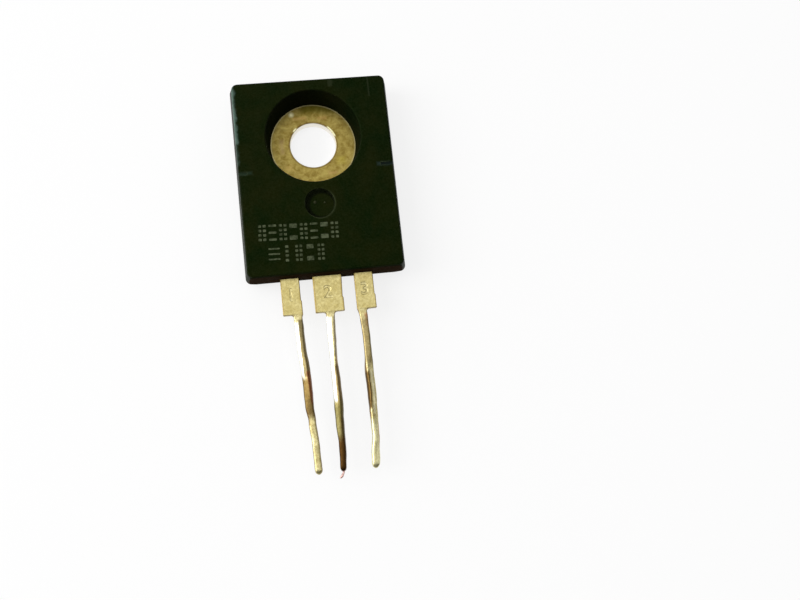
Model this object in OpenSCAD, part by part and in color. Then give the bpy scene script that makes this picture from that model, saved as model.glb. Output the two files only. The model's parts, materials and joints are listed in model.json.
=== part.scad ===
// Voltage regulator in a flat moulded power package with three leads.
// The origin is where the axis of the mounting hole meets the back face.
// +Z faces the marked front, +Y points to the hole end, the leads run along -Y.
// Sizes are in millimetres.

/* [Body] */
// Width of the moulded body at its parting line
body_w = 12.7; // [12.4:0.1:14]
// Length of the moulded body at its parting line
body_l = 16.2; // [16:0.1:18]
// Thickness of the moulded body from back to front
body_t = 3.3; // [3.2:0.05:3.8]
// Height of the parting line, where the leads leave the body
parting_z = 1.75; // [1.6:0.05:1.9]
// Draft angle of the moulded sides
side_draft = 9; // [3:0.5:10]
// Radius of the upright corners at the parting line
corner_r = 0.45; // [0.45:0.05:1]

/* [Mounting hole] */
// Distance from the hole's axis to the near end of the body
hole_to_end = 4.9; // [4.8:0.1:5.6]
// Diameter of the hole through the heat spreader
hole_d = 3.74; // [3:0.02:4.2]
// Diameter of the pocket in the body where it meets the heat spreader
pocket_d = 6.96; // [6.6:0.02:7.4]
// Taper of the pocket's wall
pocket_taper = 7.5; // [3:0.5:9]

/* [Heat spreader] */
// Thickness of the metal plate
plate_t = 0.84; // [0.7:0.02:1]
// Width of the plate's bare back
plate_w = 10.2; // [9.4:0.1:10.4]
// Plastic between the plate's bare back and the hole end of the body
plate_hole_margin = 1.1; // [0.9:0.05:1.1]
// Plastic between the plate's bare back and the lead end of the body
plate_lead_margin = 1.7; // [1.5:0.1:2]
// Radius of the plate's corners
plate_r = 0.6; // [0.3:0.1:1]
// Width of the ledge round the plate that the plastic grips
ledge_w = 0.35; // [0.2:0.05:0.45]
// Height of the ledge's underside above the back
ledge_z = 0.44; // [0.3:0.02:0.56]

/* [Leads] */
// Distance between the middles of neighbouring leads
lead_pitch = 2.54; // [2.5:0.01:2.8]
// Thickness of the lead strip
lead_t = 0.5; // [0.4:0.02:0.6]
// Length of the leads outside the body
lead_l = 15.2; // [8:0.1:16]
// Width of the slender part of every lead
shank_w = 0.66; // [0.5:0.02:0.76]
// Length of the wide shoulders outside the body
shoulder_l = 2.8; // [1.5:0.1:3.5]
// Width of the shoulders on the two outer leads
outer_shoulder_w = 1.55; // [1.4:0.05:1.7]
// Width of the shoulder on the middle lead
middle_shoulder_w = 2.3; // [1.8:0.05:2.5]
// Step between the inner edges of an outer shoulder and its shank
shoulder_lip = 0.08; // [0:0.01:0.15]
// Radius of the fillets between shoulder and shank
shank_fillet = 0.22; // [0.1:0.02:0.3]
// Width of the small bevels along the edges of a shank
edge_break = 0.08; // [0.04:0.01:0.12]
// Length of the rounded end of a shank
tip_l = 0.35; // [0.2:0.05:0.6]
// Length of the thin tail of torn metal at the tip of the middle lead
tail_l = 0.5; // [0.2:0.05:0.8]
// How far that tail leans to the left
tail_lean = 0.3; // [0:0.05:0.5]

/* [Lead ends inside the body] */
// Length of the bond pad on an outer lead
pad_l = 1.7; // [1.4:0.1:1.8]
// Width of the bond pad on an outer lead
pad_w = 1.9; // [1.6:0.1:2]
// Length of the narrow waist that locks an outer lead in the plastic
waist_l = 0.9; // [0.6:0.1:1]
// Width of that waist
waist_w = 0.9; // [0.7:0.1:1.2]
// Length over which the middle lead steps down to the heat spreader
step_l = 0.8; // [0.6:0.1:1]
// Length of the foot of the middle lead on the heat spreader
foot_l = 1.6; // [1.2:0.1:1.7]

/* [Die and wires] */
// Width of the die
die_w = 2.4; // [1.8:0.1:3]
// Length of the die
die_l = 2; // [1.6:0.1:2.2]
// Thickness of the die
die_t = 0.3; // [0.2:0.02:0.4]
// Gap between the die and the foot of the middle lead
die_gap = 1.3; // [1.1:0.1:1.4]
// Thickness of the solder under the die and the foot
solder_t = 0.05; // [0.03:0.01:0.1]
// Width of solder that shows round the die and the foot
solder_rim = 0.1; // [0.05:0.05:0.15]
// Diameter of the bond wires
wire_d = 0.2; // [0.1:0.02:0.24]
// Rise of the wires to the outer leads over a straight line
outer_loop = 0.5; // [0.45:0.05:0.6]
// Rise of the wire to the middle lead over a straight line
middle_loop = 0.6; // [0.4:0.05:0.8]
// Straight length of each wire on its bond
bond_l = 0.3; // [0.2:0.05:0.4]
// Distance from the outer bonds to the middle of the die
die_bond_x = 0.75; // [0.5:0.05:0.8]
// Distance of every bond from the edges that its wire crosses
bond_edge = 0.35; // [0.3:0.05:0.45]

/* [Marks in the moulding] */
// Diameter of the round ejector mark
mark_d = 2.36; // [1.8:0.02:2.6]
// Depth of the round ejector mark
mark_depth = 0.15; // [0.05:0.01:0.2]
// Distance from the hole's axis to the ejector mark
mark_to_hole = 5.58; // [5.5:0.02:6]
// Distance from the hole end of the body to the two side nicks
nick_to_end = 7.1; // [6.5:0.1:8]
// Length of the nick on the left
left_nick_l = 0.65; // [0.4:0.05:1]
// Length of the nick on the right
right_nick_l = 1; // [0.4:0.05:1.2]
// Width of the nicks
nick_w = 0.24; // [0.1:0.02:0.4]
// Depth of the nicks
nick_depth = 0.08; // [0.04:0.01:0.15]

/* [Hidden] */
$fn = 64;
// Length by which a cut runs past the face that it opens
past = 1;
// Ends of the body along Y at the parting line
end_y = hole_to_end;
foot_y = hole_to_end - body_l;
// How far the draft pulls in the sides at the front and at the back
front_inset = (body_t - parting_z) * tan(side_draft);
back_inset = parting_z * tan(side_draft);
// Middle of the lead strip, edges and middle of an outer shoulder
lead_top_z = parting_z + lead_t;
lead_mid_z = parting_z + lead_t / 2;
outer_inner_edge = lead_pitch - shank_w / 2 - shoulder_lip;
outer_mid_x = outer_inner_edge + outer_shoulder_w / 2;
shoulder_end_y = foot_y - shoulder_l;
shank_l = lead_l - shoulder_l;
// Ends along Y of the heat spreader and of what lies on it
plate_high_y = end_y - plate_hole_margin;
plate_low_y = foot_y + plate_lead_margin;
plate_l = plate_high_y - plate_low_y;
step_y = plate_low_y - step_l;
// All three leads end inside on one line
inner_end_y = plate_low_y + foot_l;
die_low_y = inner_end_y + die_gap;
// Heights of what lies on the heat spreader
joint_z = plate_t + solder_t;
die_top_z = joint_z + die_t;
// Length by which the skin of a shank runs up into its shoulder
shank_root = shank_fillet + edge_break;
// Share of the section that is left at the end of a tip, and at the end of the tail
tip_end_share = 0.35;
tail_end_share = 0.2;
// Rings along a shank, its tip and the tail, steps along a wire, sides of a wire
shank_rings = 32;
tip_rings = 4;
tail_rings = 3;
wire_steps = 14;
wire_sides = 8;

// Bends of the shanks: share of the length from the shoulder to the tip, shift
// along X in widths, twist in degrees, width as a share of the nominal width
left_bends = [
  [0, 0, 0, 1], [0.1, 0.03, 10, 1], [0.21, 0.08, 18, 1], [0.36, 0.3, 36, 1.05],
  [0.47, 0.36, 24, 1], [0.58, 0.36, 10, 0.98], [0.68, 0.52, 6, 0.88],
  [0.82, 0.68, 4, 0.86], [1, 0.73, 4, 0.86]
];
middle_bends = [
  [0, 0, 0, 1], [0.08, -0.05, 10, 1], [0.16, -0.1, 14, 0.95], [0.31, -0.14, 20, 0.8],
  [0.44, -0.08, 26, 0.92], [0.58, -0.08, 30, 1], [0.69, -0.15, 22, 0.92],
  [0.84, -0.12, 14, 0.78], [1, -0.26, 10, 0.7]
];
right_bends = [
  [0, 0, 0, 1], [0.06, 0.09, 2, 0.95], [0.18, 0.15, 4, 0.9], [0.27, 0.15, 2, 0.9],
  [0.41, 0.05, -26, 0.98], [0.53, 0.09, -30, 0.98], [0.65, 0.05, -14, 0.88],
  [0.79, 0.03, -8, 0.82], [0.92, -0.21, -2, 0.96], [1, -0.33, 0, 0.9]
];

// Eased value of one column of a bend list at a share of the shank's length
function ease(t) = t * t * (3 - 2 * t);
function bend(list, col, s, i = 0) =
  s <= list[0][0] ? list[0][col]
  : i + 1 >= len(list) ? list[i][col]
  : s > list[i + 1][0] ? bend(list, col, s, i + 1)
  : list[i][col] + (list[i + 1][col] - list[i][col])
    * ease((s - list[i][0]) / (list[i + 1][0] - list[i][0]));

// Share of the full section that is left near the rounded tip
function tip_share(d) =
  let (left = (shank_l - d) / tip_l)
  left >= 1 ? 1 : max(tip_end_share, sqrt(1 - pow(1 - max(left, 0), 2)));

// Distances from the shoulder at which a shank has its rings
function ring_places() =
  let (start = -shank_root, stop = shank_l - tip_l)
  concat(
    [for (k = [0:shank_rings]) start + (stop - start) * k / shank_rings],
    [for (k = [1:tip_rings]) stop + tip_l * sin(90 * k / tip_rings)]
  );

// Corners of a bevelled bar section, w wide and t thick
function bar_section(w, t, b) = [
  [w / 2, t / 2 - b], [w / 2 - b, t / 2], [b - w / 2, t / 2], [-w / 2, t / 2 - b],
  [-w / 2, b - t / 2], [b - w / 2, -t / 2], [w / 2 - b, -t / 2], [w / 2, b - t / 2]
];

// One ring of a shank whose shoulder end has its middle at x
function shank_ring(x, bends, d) =
  let (
    share = tip_share(d),
    s = d / shank_l,
    mid_x = x + shank_w * bend(bends, 1, s),
    twist = bend(bends, 2, s),
    section = bar_section(shank_w * bend(bends, 3, s) * share, lead_t * share, edge_break * share)
  )
  [for (p = section) [
    mid_x + p[0] * cos(twist) - p[1] * sin(twist),
    shoulder_end_y - d,
    lead_mid_z + p[0] * sin(twist) + p[1] * cos(twist)
  ]];

// Ring of the middle lead's tail at a share t of its length
function tail_ring(t) =
  let (
    share = tip_end_share + (tail_end_share - tip_end_share) * t,
    width = shank_w * bend(middle_bends, 3, 1) * share,
    mid_x = shank_w * bend(middle_bends, 1, 1) - tail_lean * t
  )
  [for (p = bar_section(width, lead_t * share, edge_break * share))
    [mid_x + p[0], shoulder_end_y - shank_l - tail_l * t, lead_mid_z + p[1]]];

// Points of a wire that lies flat on both bonds and rises between them
function wire_path(a, b, loop) =
  let (
    run = [b[0] - a[0], b[1] - a[1], 0],
    ahead = run / norm(run)
  )
  concat(
    [a - bond_l * ahead],
    [for (k = [0:wire_steps]) let (t = k / wire_steps)
      a + t * run + [0, 0, (b[2] - a[2]) * ease(t) + loop * pow(sin(180 * t), 2)]],
    [b + bond_l * ahead]
  );

// One ring of a wire, with a flat side below
function wire_ring(path, k) =
  let (
    from = path[max(k - 1, 0)],
    to = path[min(k + 1, len(path) - 1)],
    ahead = (to - from) / norm(to - from),
    flat = [to[0] - from[0], to[1] - from[1], 0],
    side = [-flat[1], flat[0], 0] / norm(flat),
    up = cross(ahead, side),
    r = wire_d / 2 / cos(180 / wire_sides)
  )
  [for (j = [0:wire_sides - 1]) let (a = 360 * (j + 0.5) / wire_sides)
    path[k] + r * (cos(a) * side + sin(a) * up)];

// Solid through rings of equal point counts, closed at both ends
module skin(rings) {
  n = len(rings[0]);
  last = len(rings) - 1;
  polyhedron(
    points = [for (ring = rings) each ring],
    faces = [
      [for (j = [0:n - 1]) j],
      for (k = [0:last - 1], j = [0:n - 1]) [k * n + j, (k + 1) * n + j, k * n + (j + 1) % n],
      for (k = [1:last], j = [0:n - 1]) [k * n + j, k * n + (j + 1) % n, (k - 1) * n + (j + 1) % n],
      [for (j = [n - 1:-1:0]) last * n + j]
    ],
    convexity = 6
  );
}

// Bar of the body's section, drafted at both ends from the parting line
module drafted_bar(length, low, high) {
  translate([0, 0, -length / 2])
    linear_extrude(length)
      polygon([
        [low + back_inset, 0], [low, parting_z], [low + front_inset, body_t],
        [high - front_inset, body_t], [high, parting_z], [high - back_inset, 0]
      ]);
}

// Body without its pocket and marks, with conical corners
module body_blank() {
  rotate([90, 0, 90])
    drafted_bar(body_w - 2 * corner_r, foot_y, end_y);
  translate([0, (end_y + foot_y) / 2, 0])
    rotate([90, 0, 0])
      drafted_bar(body_l - 2 * corner_r, -body_w / 2, body_w / 2);
  corner_x = body_w / 2 - corner_r;
  for (x = [-corner_x, corner_x], y = [foot_y + corner_r, end_y - corner_r])
    translate([x, y, 0]) {
      cylinder(parting_z, corner_r - back_inset, corner_r);
      translate([0, 0, parting_z])
        cylinder(body_t - parting_z, corner_r, corner_r - front_inset);
    }
}

// Tapered pocket that leaves a ring of the heat spreader bare
module pocket() {
  depth = body_t - plate_t + past;
  translate([0, 0, plate_t])
    cylinder(depth, pocket_d / 2, pocket_d / 2 + depth * tan(pocket_taper));
}

// Shallow round mark on the front
module ejector_mark() {
  translate([0, -mark_to_hole, body_t - mark_depth])
    cylinder(mark_depth + past, d = mark_d);
}

// Short groove that runs in from one side of the front, side is -1 or 1
module side_nick(side, length) {
  r = (nick_w * nick_w / 4 + nick_depth * nick_depth) / (2 * nick_depth);
  edge_x = body_w / 2 - front_inset;
  translate([side * (edge_x - length), end_y - nick_to_end, body_t + r - nick_depth])
    rotate([0, side * 90, 0])
      cylinder(length + past, r = r);
}

// Slab with round corners, its near edge on the X axis
module rounded_slab(w, l, h, r) {
  translate([r - w / 2, 0, 0])
    cube([w - 2 * r, l, h]);
  translate([-w / 2, r, 0])
    cube([w, l - 2 * r, h]);
  for (x = [r - w / 2, w / 2 - r], y = [r, l - r])
    translate([x, y, 0])
      cylinder(h, r = r);
}

// Heat spreader before its hole is pierced, with the ledge round its upper half
module spreader_blank() {
  translate([0, plate_low_y, 0])
    rounded_slab(plate_w, plate_l, plate_t, plate_r);
  translate([0, plate_low_y - ledge_w, ledge_z])
    rounded_slab(plate_w + 2 * ledge_w, plate_l + 2 * ledge_w, plate_t - ledge_z, plate_r + ledge_w);
}

// Length of lead strip at the height of the parting line
module strip(x, width, low, high) {
  translate([x - width / 2, low, parting_z])
    cube([width, high - low, lead_t]);
}

// Fillet beside a shank under its shoulder, side is the way it points
module root_fillet(x, side) {
  corner_x = x + side * shank_w / 2;
  difference() {
    translate([corner_x - shank_fillet, shoulder_end_y - shank_fillet, parting_z])
      cube([2 * shank_fillet, shank_fillet, lead_t]);
    translate([corner_x + side * shank_fillet, shoulder_end_y - shank_fillet, parting_z - past])
      cylinder(lead_t + 2 * past, r = shank_fillet);
  }
}

// Slender part of a lead with its bends and twists, and with the rings of a tail if it has one
module shank(x, bends, tail = []) {
  skin(concat([for (d = ring_places()) shank_ring(x, bends, d)], tail));
}

// Flat part of an outer lead: bond pad, waist and shoulder
module outer_strip(side) {
  x = side * outer_mid_x;
  waist_y = inner_end_y - pad_l;
  strip(x, pad_w, waist_y, inner_end_y);
  strip(x, waist_w, waist_y - waist_l, waist_y);
  strip(x, outer_shoulder_w, shoulder_end_y, waist_y - waist_l);
}

// Flat part of the middle lead: shoulder, step down and foot
module middle_strip() {
  slope = atan2(parting_z - joint_z, step_l);
  mitre = lead_t * tan(slope / 2);
  rotate([90, 0, 90])
    translate([0, 0, -middle_shoulder_w / 2])
      linear_extrude(middle_shoulder_w)
        polygon([
          [shoulder_end_y, parting_z], [step_y, parting_z], [plate_low_y, joint_z],
          [inner_end_y, joint_z], [inner_end_y, joint_z + lead_t],
          [plate_low_y + mitre, joint_z + lead_t], [step_y + mitre, lead_top_z],
          [shoulder_end_y, lead_top_z]
        ]);
}

// Wire from the die to an outer lead, side is -1 or 1
module outer_wire(side) {
  skin_along(wire_path(
    [side * die_bond_x, die_low_y + bond_edge, die_top_z + wire_d / 2],
    [side * (outer_mid_x - pad_w / 2 + bond_edge), inner_end_y - bond_edge, lead_top_z + wire_d / 2],
    outer_loop
  ));
}

// Wire from the die to the foot of the middle lead
module middle_wire() {
  skin_along(wire_path(
    [0, die_low_y + bond_edge, die_top_z + wire_d / 2],
    [0, inner_end_y - bond_edge, joint_z + lead_t + wire_d / 2],
    middle_loop
  ));
}

// Round wire along a path
module skin_along(path) {
  skin([for (k = [0:len(path) - 1]) wire_ring(path, k)]);
}

// Layer of solder under a piece of the given outline on the heat spreader
module solder_layer(width, low, high) {
  translate([-width / 2 - solder_rim, low, plate_t])
    cube([width + 2 * solder_rim, high - low, solder_t]);
}

// Layer under the foot, which starts flush with the spreader's edge
module foot_layer() {
  solder_layer(middle_shoulder_w, plate_low_y, inner_end_y + solder_rim);
}

module die_layer() {
  solder_layer(die_w, die_low_y - solder_rim, die_low_y + die_l + solder_rim);
}

module die_block() {
  translate([-die_w / 2, die_low_y, joint_z])
    cube([die_w, die_l, die_t]);
}

// The plastic is moulded round all of these
module moulded_in() {
  spreader_blank();
  outer_strip(-1);
  outer_strip(1);
  middle_strip();
  foot_layer();
  die_layer();
  die_block();
  outer_wire(-1);
  outer_wire(1);
  middle_wire();
}

module housing() {
  color("#1d1e16")
    difference() {
      body_blank();
      pocket();
      ejector_mark();
      side_nick(-1, left_nick_l);
      side_nick(1, right_nick_l);
      moulded_in();
    }
}

module heat_spreader() {
  color("#a08c46")
    difference() {
      spreader_blank();
      translate([0, 0, -past])
        cylinder(plate_t + 2 * past, d = hole_d);
    }
}

// Outer lead on the given side with the bends of its shank
module outer_lead(side, bends) {
  outer_strip(side);
  shank(side * lead_pitch, bends);
  root_fillet(side * lead_pitch, side);
}

module input_lead() {
  color("#c8b978") outer_lead(-1, left_bends);
}

module ground_lead() {
  color("#c8b978") {
    middle_strip();
    shank(0, middle_bends, [for (k = [1:tail_rings]) tail_ring(k / tail_rings)]);
    root_fillet(0, -1);
    root_fillet(0, 1);
  }
}

module output_lead() {
  color("#c8b978") outer_lead(1, right_bends);
}

module ground_solder() {
  color("#9a9ca0") foot_layer();
}

module die_solder() {
  color("#9a9ca0") die_layer();
}

module regulator_die() {
  color("#4a4f5a") die_block();
}

module input_wire() {
  color("#c9ccd0") outer_wire(-1);
}

module ground_wire() {
  color("#c9ccd0") middle_wire();
}

module output_wire() {
  color("#c9ccd0") outer_wire(1);
}

housing();
heat_spreader();
input_lead();
ground_lead();
output_lead();
ground_solder();
die_solder();
regulator_die();
input_wire();
ground_wire();
output_wire();
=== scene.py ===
"""Looks of a voltage regulator in a flat moulded package with three leads.

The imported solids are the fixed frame. The housing, the heat spreader and the
leads are modelled again in their places with soft edges and fine detail. The
pieces that are sealed in the plastic keep their solids and get finishes.
"""

import json
import logging
import math
from contextlib import contextmanager
from dataclasses import dataclass, field, replace
from enum import Enum
from functools import cached_property
from typing import Callable, Iterator, Mapping, NamedTuple, Optional, Sequence

import bmesh
import bpy
from mathutils import Matrix, Vector

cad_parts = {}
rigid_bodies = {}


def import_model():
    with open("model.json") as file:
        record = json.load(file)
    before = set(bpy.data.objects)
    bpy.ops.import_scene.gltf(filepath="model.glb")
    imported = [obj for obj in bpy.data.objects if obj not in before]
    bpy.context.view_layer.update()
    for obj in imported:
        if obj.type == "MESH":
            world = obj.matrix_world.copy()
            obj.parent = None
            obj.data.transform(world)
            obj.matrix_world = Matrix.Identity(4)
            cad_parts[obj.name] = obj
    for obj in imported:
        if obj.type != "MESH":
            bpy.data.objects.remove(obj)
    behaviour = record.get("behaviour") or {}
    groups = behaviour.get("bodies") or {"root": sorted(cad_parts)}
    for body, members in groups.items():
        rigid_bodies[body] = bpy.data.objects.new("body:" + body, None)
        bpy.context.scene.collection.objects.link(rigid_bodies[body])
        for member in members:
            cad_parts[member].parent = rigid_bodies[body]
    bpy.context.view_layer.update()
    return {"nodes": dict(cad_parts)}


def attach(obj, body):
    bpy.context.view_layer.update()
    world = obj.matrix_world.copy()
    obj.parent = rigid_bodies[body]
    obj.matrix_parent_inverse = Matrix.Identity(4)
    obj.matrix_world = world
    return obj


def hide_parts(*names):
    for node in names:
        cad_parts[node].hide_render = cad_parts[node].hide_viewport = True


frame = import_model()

LOG = logging.getLogger("voltage_regulator")
BODY = "root"

# A millimetre in metres, and the body's and the ink's thickness in millimetres
MM = 0.001
BODY_T = 3.3
INK_T = 0.004
FRONT_Z = BODY_T - INK_T

# How far a cutter reaches past a skin, and how near counts as there, in millimetres
PAST = 0.3
NEAR = 0.01

# Distances at which points merge and cuts meet, in metres
MERGE = 1e-7
FINE = 1e-8

# Share of a direction along an axis from which it counts as facing that way
FACING = 0.9

Pair = tuple[float, float]
Point = tuple[float, float, float]
Colour = tuple[float, float, float]
Test = Callable[[Vector, Vector], bool]

# What a node's input takes: a socket or a plain value
Value = object


class Pick(Enum):
    """What a selection is made of."""

    POINTS = "VERT"
    EDGES = "EDGE"
    FACES = "FACE"


class Seat(Enum):
    """Place of a lead in the row, as the sign of its X."""

    LEFT = -1
    MIDDLE = 0
    RIGHT = 1


class Mark(Enum):
    """Plain shapes of the faded print: columns, rows, and width and height of one dash."""

    GRID = (2, 4, 0.24, 0.2)
    STEPS = (1, 3, 0.6, 0.17)
    BLOCKS = (1, 2, 0.6, 0.34)
    COLUMN = (1, 4, 0.6, 0.2)


# Modelling

def metres(*lengths: float) -> tuple[float, ...]:
    """Returns lengths in millimetres as metres."""
    return tuple(length * MM for length in lengths)


def box_between(low: Point, high: Point) -> tuple[Point, Point]:
    """Returns the middle and the size of the box between two corners, in metres."""
    middle = metres(*((a + b) / 2 for a, b in zip(low, high)))
    return middle, metres(*(b - a for a, b in zip(low, high)))


def slope(degrees: float) -> float:
    """Returns how far a slope goes aside for each millimetre."""
    return math.tan(math.radians(degrees))


def rolled(height: float, radius: float, roll: float, angles: Sequence[float]) -> list[Pair]:
    """Returns the rings of a rounded edge that opens upwards.

    Args:
        height: Height at which the round starts.
        radius: Radius of the hole there.
        roll: Radius of the round.
        angles: Degrees of the round at which a ring lies.

    Returns:
        Height and radius of each ring.
    """
    turns = [math.radians(angle) for angle in angles]
    return [(height + roll * math.sin(turn), radius + roll * (1 - math.cos(turn)))
            for turn in turns]


def select_only(*objects: bpy.types.Object) -> None:
    """Deselects everything, then selects objects and makes the first one active.

    Args:
        objects: The objects to select.
    """
    for other in bpy.context.view_layer.objects:
        other.select_set(False)
    for chosen in objects:
        chosen.select_set(True)
    bpy.context.view_layer.objects.active = objects[0] if objects else None


class Workpiece:
    """One mesh object and the hand moves that shape it, in millimetres."""

    BALL_SIDES = 24

    def __init__(self, name: str) -> None:
        """Takes the active object, which a primitive has just made.

        Args:
            name: The name that the object gets.
        """
        self.obj = bpy.context.active_object
        self.obj.name = name
        self.obj.data.name = name
        bpy.ops.object.transform_apply(location=True, rotation=True, scale=True)

    @classmethod
    def block(cls, name: str, low: Point, high: Point) -> "Workpiece":
        """Adds a cube primitive between two corners.

        Args:
            name: Name of the new object.
            low: Lowest corner.
            high: Highest corner.

        Returns:
            The new workpiece.
        """
        select_only()
        middle, size = box_between(low, high)
        bpy.ops.mesh.primitive_cube_add(size=1, location=middle, scale=size)
        return cls(name)

    @classmethod
    def sheet(cls, name: str, low: Point, high: Point) -> "Workpiece":
        """Adds a plane primitive between two corners of one height.

        Args:
            name: Name of the new object.
            low: Lowest corner.
            high: Highest corner.

        Returns:
            The new workpiece.
        """
        select_only()
        middle, size = box_between(low, high)
        bpy.ops.mesh.primitive_plane_add(size=1, location=middle)
        bpy.context.active_object.scale = (*size[:2], 1)
        return cls(name)

    @classmethod
    def disc(cls, name: str, centre: Point, radius: float, sides: int) -> "Workpiece":
        """Adds a filled circle primitive.

        Args:
            name: Name of the new object.
            centre: Middle of the disc.
            radius: Its radius.
            sides: Number of its corners.

        Returns:
            The new workpiece.
        """
        select_only()
        bpy.ops.mesh.primitive_circle_add(
            vertices=sides, radius=radius * MM, fill_type="NGON", location=metres(*centre)
        )
        return cls(name)

    @classmethod
    def ball(cls, name: str, centre: Point, radius: float) -> "Workpiece":
        """Adds a fine sphere primitive.

        Args:
            name: Name of the new object.
            centre: Middle of the ball.
            radius: Its radius.

        Returns:
            The new workpiece.
        """
        select_only()
        bpy.ops.mesh.primitive_uv_sphere_add(
            segments=cls.BALL_SIDES, ring_count=cls.BALL_SIDES // 2, radius=radius * MM,
            location=metres(*centre),
        )
        return cls(name)

    @classmethod
    def turned(cls, name: str, at: Pair, rings: Sequence[Pair], sides: int) -> "Workpiece":
        """Raises a disc through rings, as a turned shape.

        Args:
            name: Name of the new object.
            at: X and Y of its axis.
            rings: Height and radius of each ring, from the lowest.
            sides: Number of corners of a ring.

        Returns:
            The new workpiece.
        """
        height, radius = rings[0]
        piece = cls.disc(name, (*at, height), radius, sides)
        with piece.edit():
            piece.pick_all()
            for next_height, next_radius in rings[1:]:
                piece.extrude(0, 0, next_height - height)
                share = next_radius / radius
                piece.resize((share, share, 1), (*at, next_height))
                height, radius = next_height, next_radius
            piece.face_outwards()
        return piece

    @contextmanager
    def edit(self) -> Iterator["Workpiece"]:
        """Goes into edit mode on this object alone, and comes out again.

        Yields:
            This piece, while it is edited.
        """
        select_only(self.obj)
        bpy.ops.object.mode_set(mode="EDIT")
        try:
            yield self
        finally:
            bpy.ops.object.mode_set(mode="OBJECT")

    def pick(self, what: Pick, test: Test) -> None:
        """Selects what passes a test by its place and its way, and nothing else.

        Args:
            what: Points, edges or faces.
            test: Takes the middle in millimetres, and the normal or an edge's direction.
        """
        bpy.ops.mesh.select_mode(type=what.value)
        bpy.ops.mesh.select_all(action="DESELECT")
        mesh = bmesh.from_edit_mesh(self.obj.data)
        items = {Pick.POINTS: mesh.verts, Pick.EDGES: mesh.edges, Pick.FACES: mesh.faces}[what]
        for item in items:
            if what is Pick.POINTS:
                at, way = item.co, item.normal
            elif what is Pick.EDGES:
                ends = [point.co for point in item.verts]
                at, way = (ends[0] + ends[1]) / 2, (ends[1] - ends[0]).normalized()
            else:
                at, way = item.calc_center_median(), item.normal
            if test(at / MM, way):
                item.select_set(True)
        mesh.select_flush_mode()
        bmesh.update_edit_mesh(self.obj.data)

    def pick_all(self) -> None:
        """Selects the whole mesh."""
        bpy.ops.mesh.select_all(action="SELECT")

    def extrude(self, x: float, y: float, z: float) -> None:
        """Extrudes the selected faces by a move."""
        bpy.ops.mesh.extrude_region_move(TRANSFORM_OT_translate={"value": metres(x, y, z)})

    def shift(self, x: float, y: float, z: float) -> None:
        """Moves what is selected."""
        bpy.ops.transform.translate(value=metres(x, y, z))

    def resize(self, shares: Point, centre: Point) -> None:
        """Scales what is selected about a centre."""
        bpy.ops.transform.resize(value=shares, center_override=metres(*centre))

    def turn_y(self, degrees: float, centre: Point) -> None:
        """Turns what is selected about a line along Y.

        Args:
            degrees: The angle, which is positive where +X goes up.
            centre: A point of the line.
        """
        bpy.ops.transform.rotate(
            value=math.radians(degrees), orient_axis="Y", center_override=metres(*centre)
        )

    def cut_level(self, height: float, drop: bool = False) -> None:
        """Bisects the whole mesh at a height.

        Args:
            height: The height of the cut.
            drop: Whether what lies below goes and the cut is closed.
        """
        self.pick_all()
        bpy.ops.mesh.bisect(
            plane_co=metres(0, 0, height), plane_no=(0, 0, 1), threshold=FINE,
            clear_inner=drop, use_fill=drop,
        )

    def bevel(self, width: float, segments: int, points: bool = False) -> None:
        """Rounds the selected edges.

        Args:
            width: Radius of the round.
            segments: Number of its faces.
            points: Whether it is the points that are rounded.
        """
        bpy.ops.mesh.bevel(
            offset=width * MM, segments=segments, profile=0.5, clamp_overlap=True,
            affect="VERTICES" if points else "EDGES",
        )

    def round_rim(self, height: float, width: float, segments: int) -> None:
        """Rounds the outline of the flat face at a height.

        Args:
            height: The height of the face.
            width: Radius of the round.
            segments: Number of its faces.
        """
        self.pick(Pick.FACES, lambda at, way: abs(at.z - height) < NEAR)
        bpy.ops.mesh.region_to_loop()
        self.bevel(width, segments)

    def inset(self, width: float) -> None:
        """Insets the selected faces evenly."""
        bpy.ops.mesh.inset(thickness=width * MM, use_even_offset=True)

    def face_outwards(self) -> None:
        """Makes every face point outwards."""
        self.pick_all()
        bpy.ops.mesh.normals_make_consistent(inside=False)

    def modify(self, kind: str, **settings: Value) -> None:
        """Adds a modifier and applies it.

        Args:
            kind: Type of the modifier.
            settings: Its settings by name.
        """
        select_only(self.obj)
        modifier = self.obj.modifiers.new(kind.lower(), kind)
        for name, value in settings.items():
            setattr(modifier, name, value)
        bpy.ops.object.modifier_apply(modifier=modifier.name)

    def cut_away(self, cutter: "Workpiece") -> None:
        """Takes a cutter's space out of this piece and removes the cutter."""
        self.modify("BOOLEAN", operation="DIFFERENCE", solver="EXACT", object=cutter.obj)
        cutter.remove()

    def remove(self) -> None:
        """Deletes the object and its mesh."""
        mesh = self.obj.data
        bpy.data.objects.remove(self.obj)
        bpy.data.meshes.remove(mesh)

    def copy(self, name: str) -> "Workpiece":
        """Copies the piece.

        Args:
            name: Name of the copy.

        Returns:
            A copy with a mesh of its own.
        """
        double = self.obj.copy()
        double.data = self.obj.data.copy()
        bpy.context.scene.collection.objects.link(double)
        select_only(double)
        return Workpiece(name)

    def place(self, move: Point, shares: Point = (1, 1, 1), turn_z: float = 0.0) -> None:
        """Scales, turns and moves the whole piece about the origin and applies it.

        Args:
            move: How far it moves.
            shares: Its new size as a share of the old.
            turn_z: Degrees that it turns.
        """
        select_only(self.obj)
        self.obj.scale = shares
        self.obj.rotation_euler = (0, 0, math.radians(turn_z))
        self.obj.location = metres(*move)
        bpy.ops.object.transform_apply(location=True, rotation=True, scale=True)

    def join(self, others: Sequence["Workpiece"]) -> None:
        """Joins other pieces into this one.

        Args:
            others: The other pieces.
        """
        if others:
            select_only(self.obj, *(other.obj for other in others))
            bpy.ops.object.join()

    def clean(self) -> None:
        """Merges doubles and dissolves what has no area."""
        with self.edit():
            self.pick_all()
            bpy.ops.mesh.remove_doubles(threshold=MERGE)
            bpy.ops.mesh.dissolve_degenerate(threshold=FINE)

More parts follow.
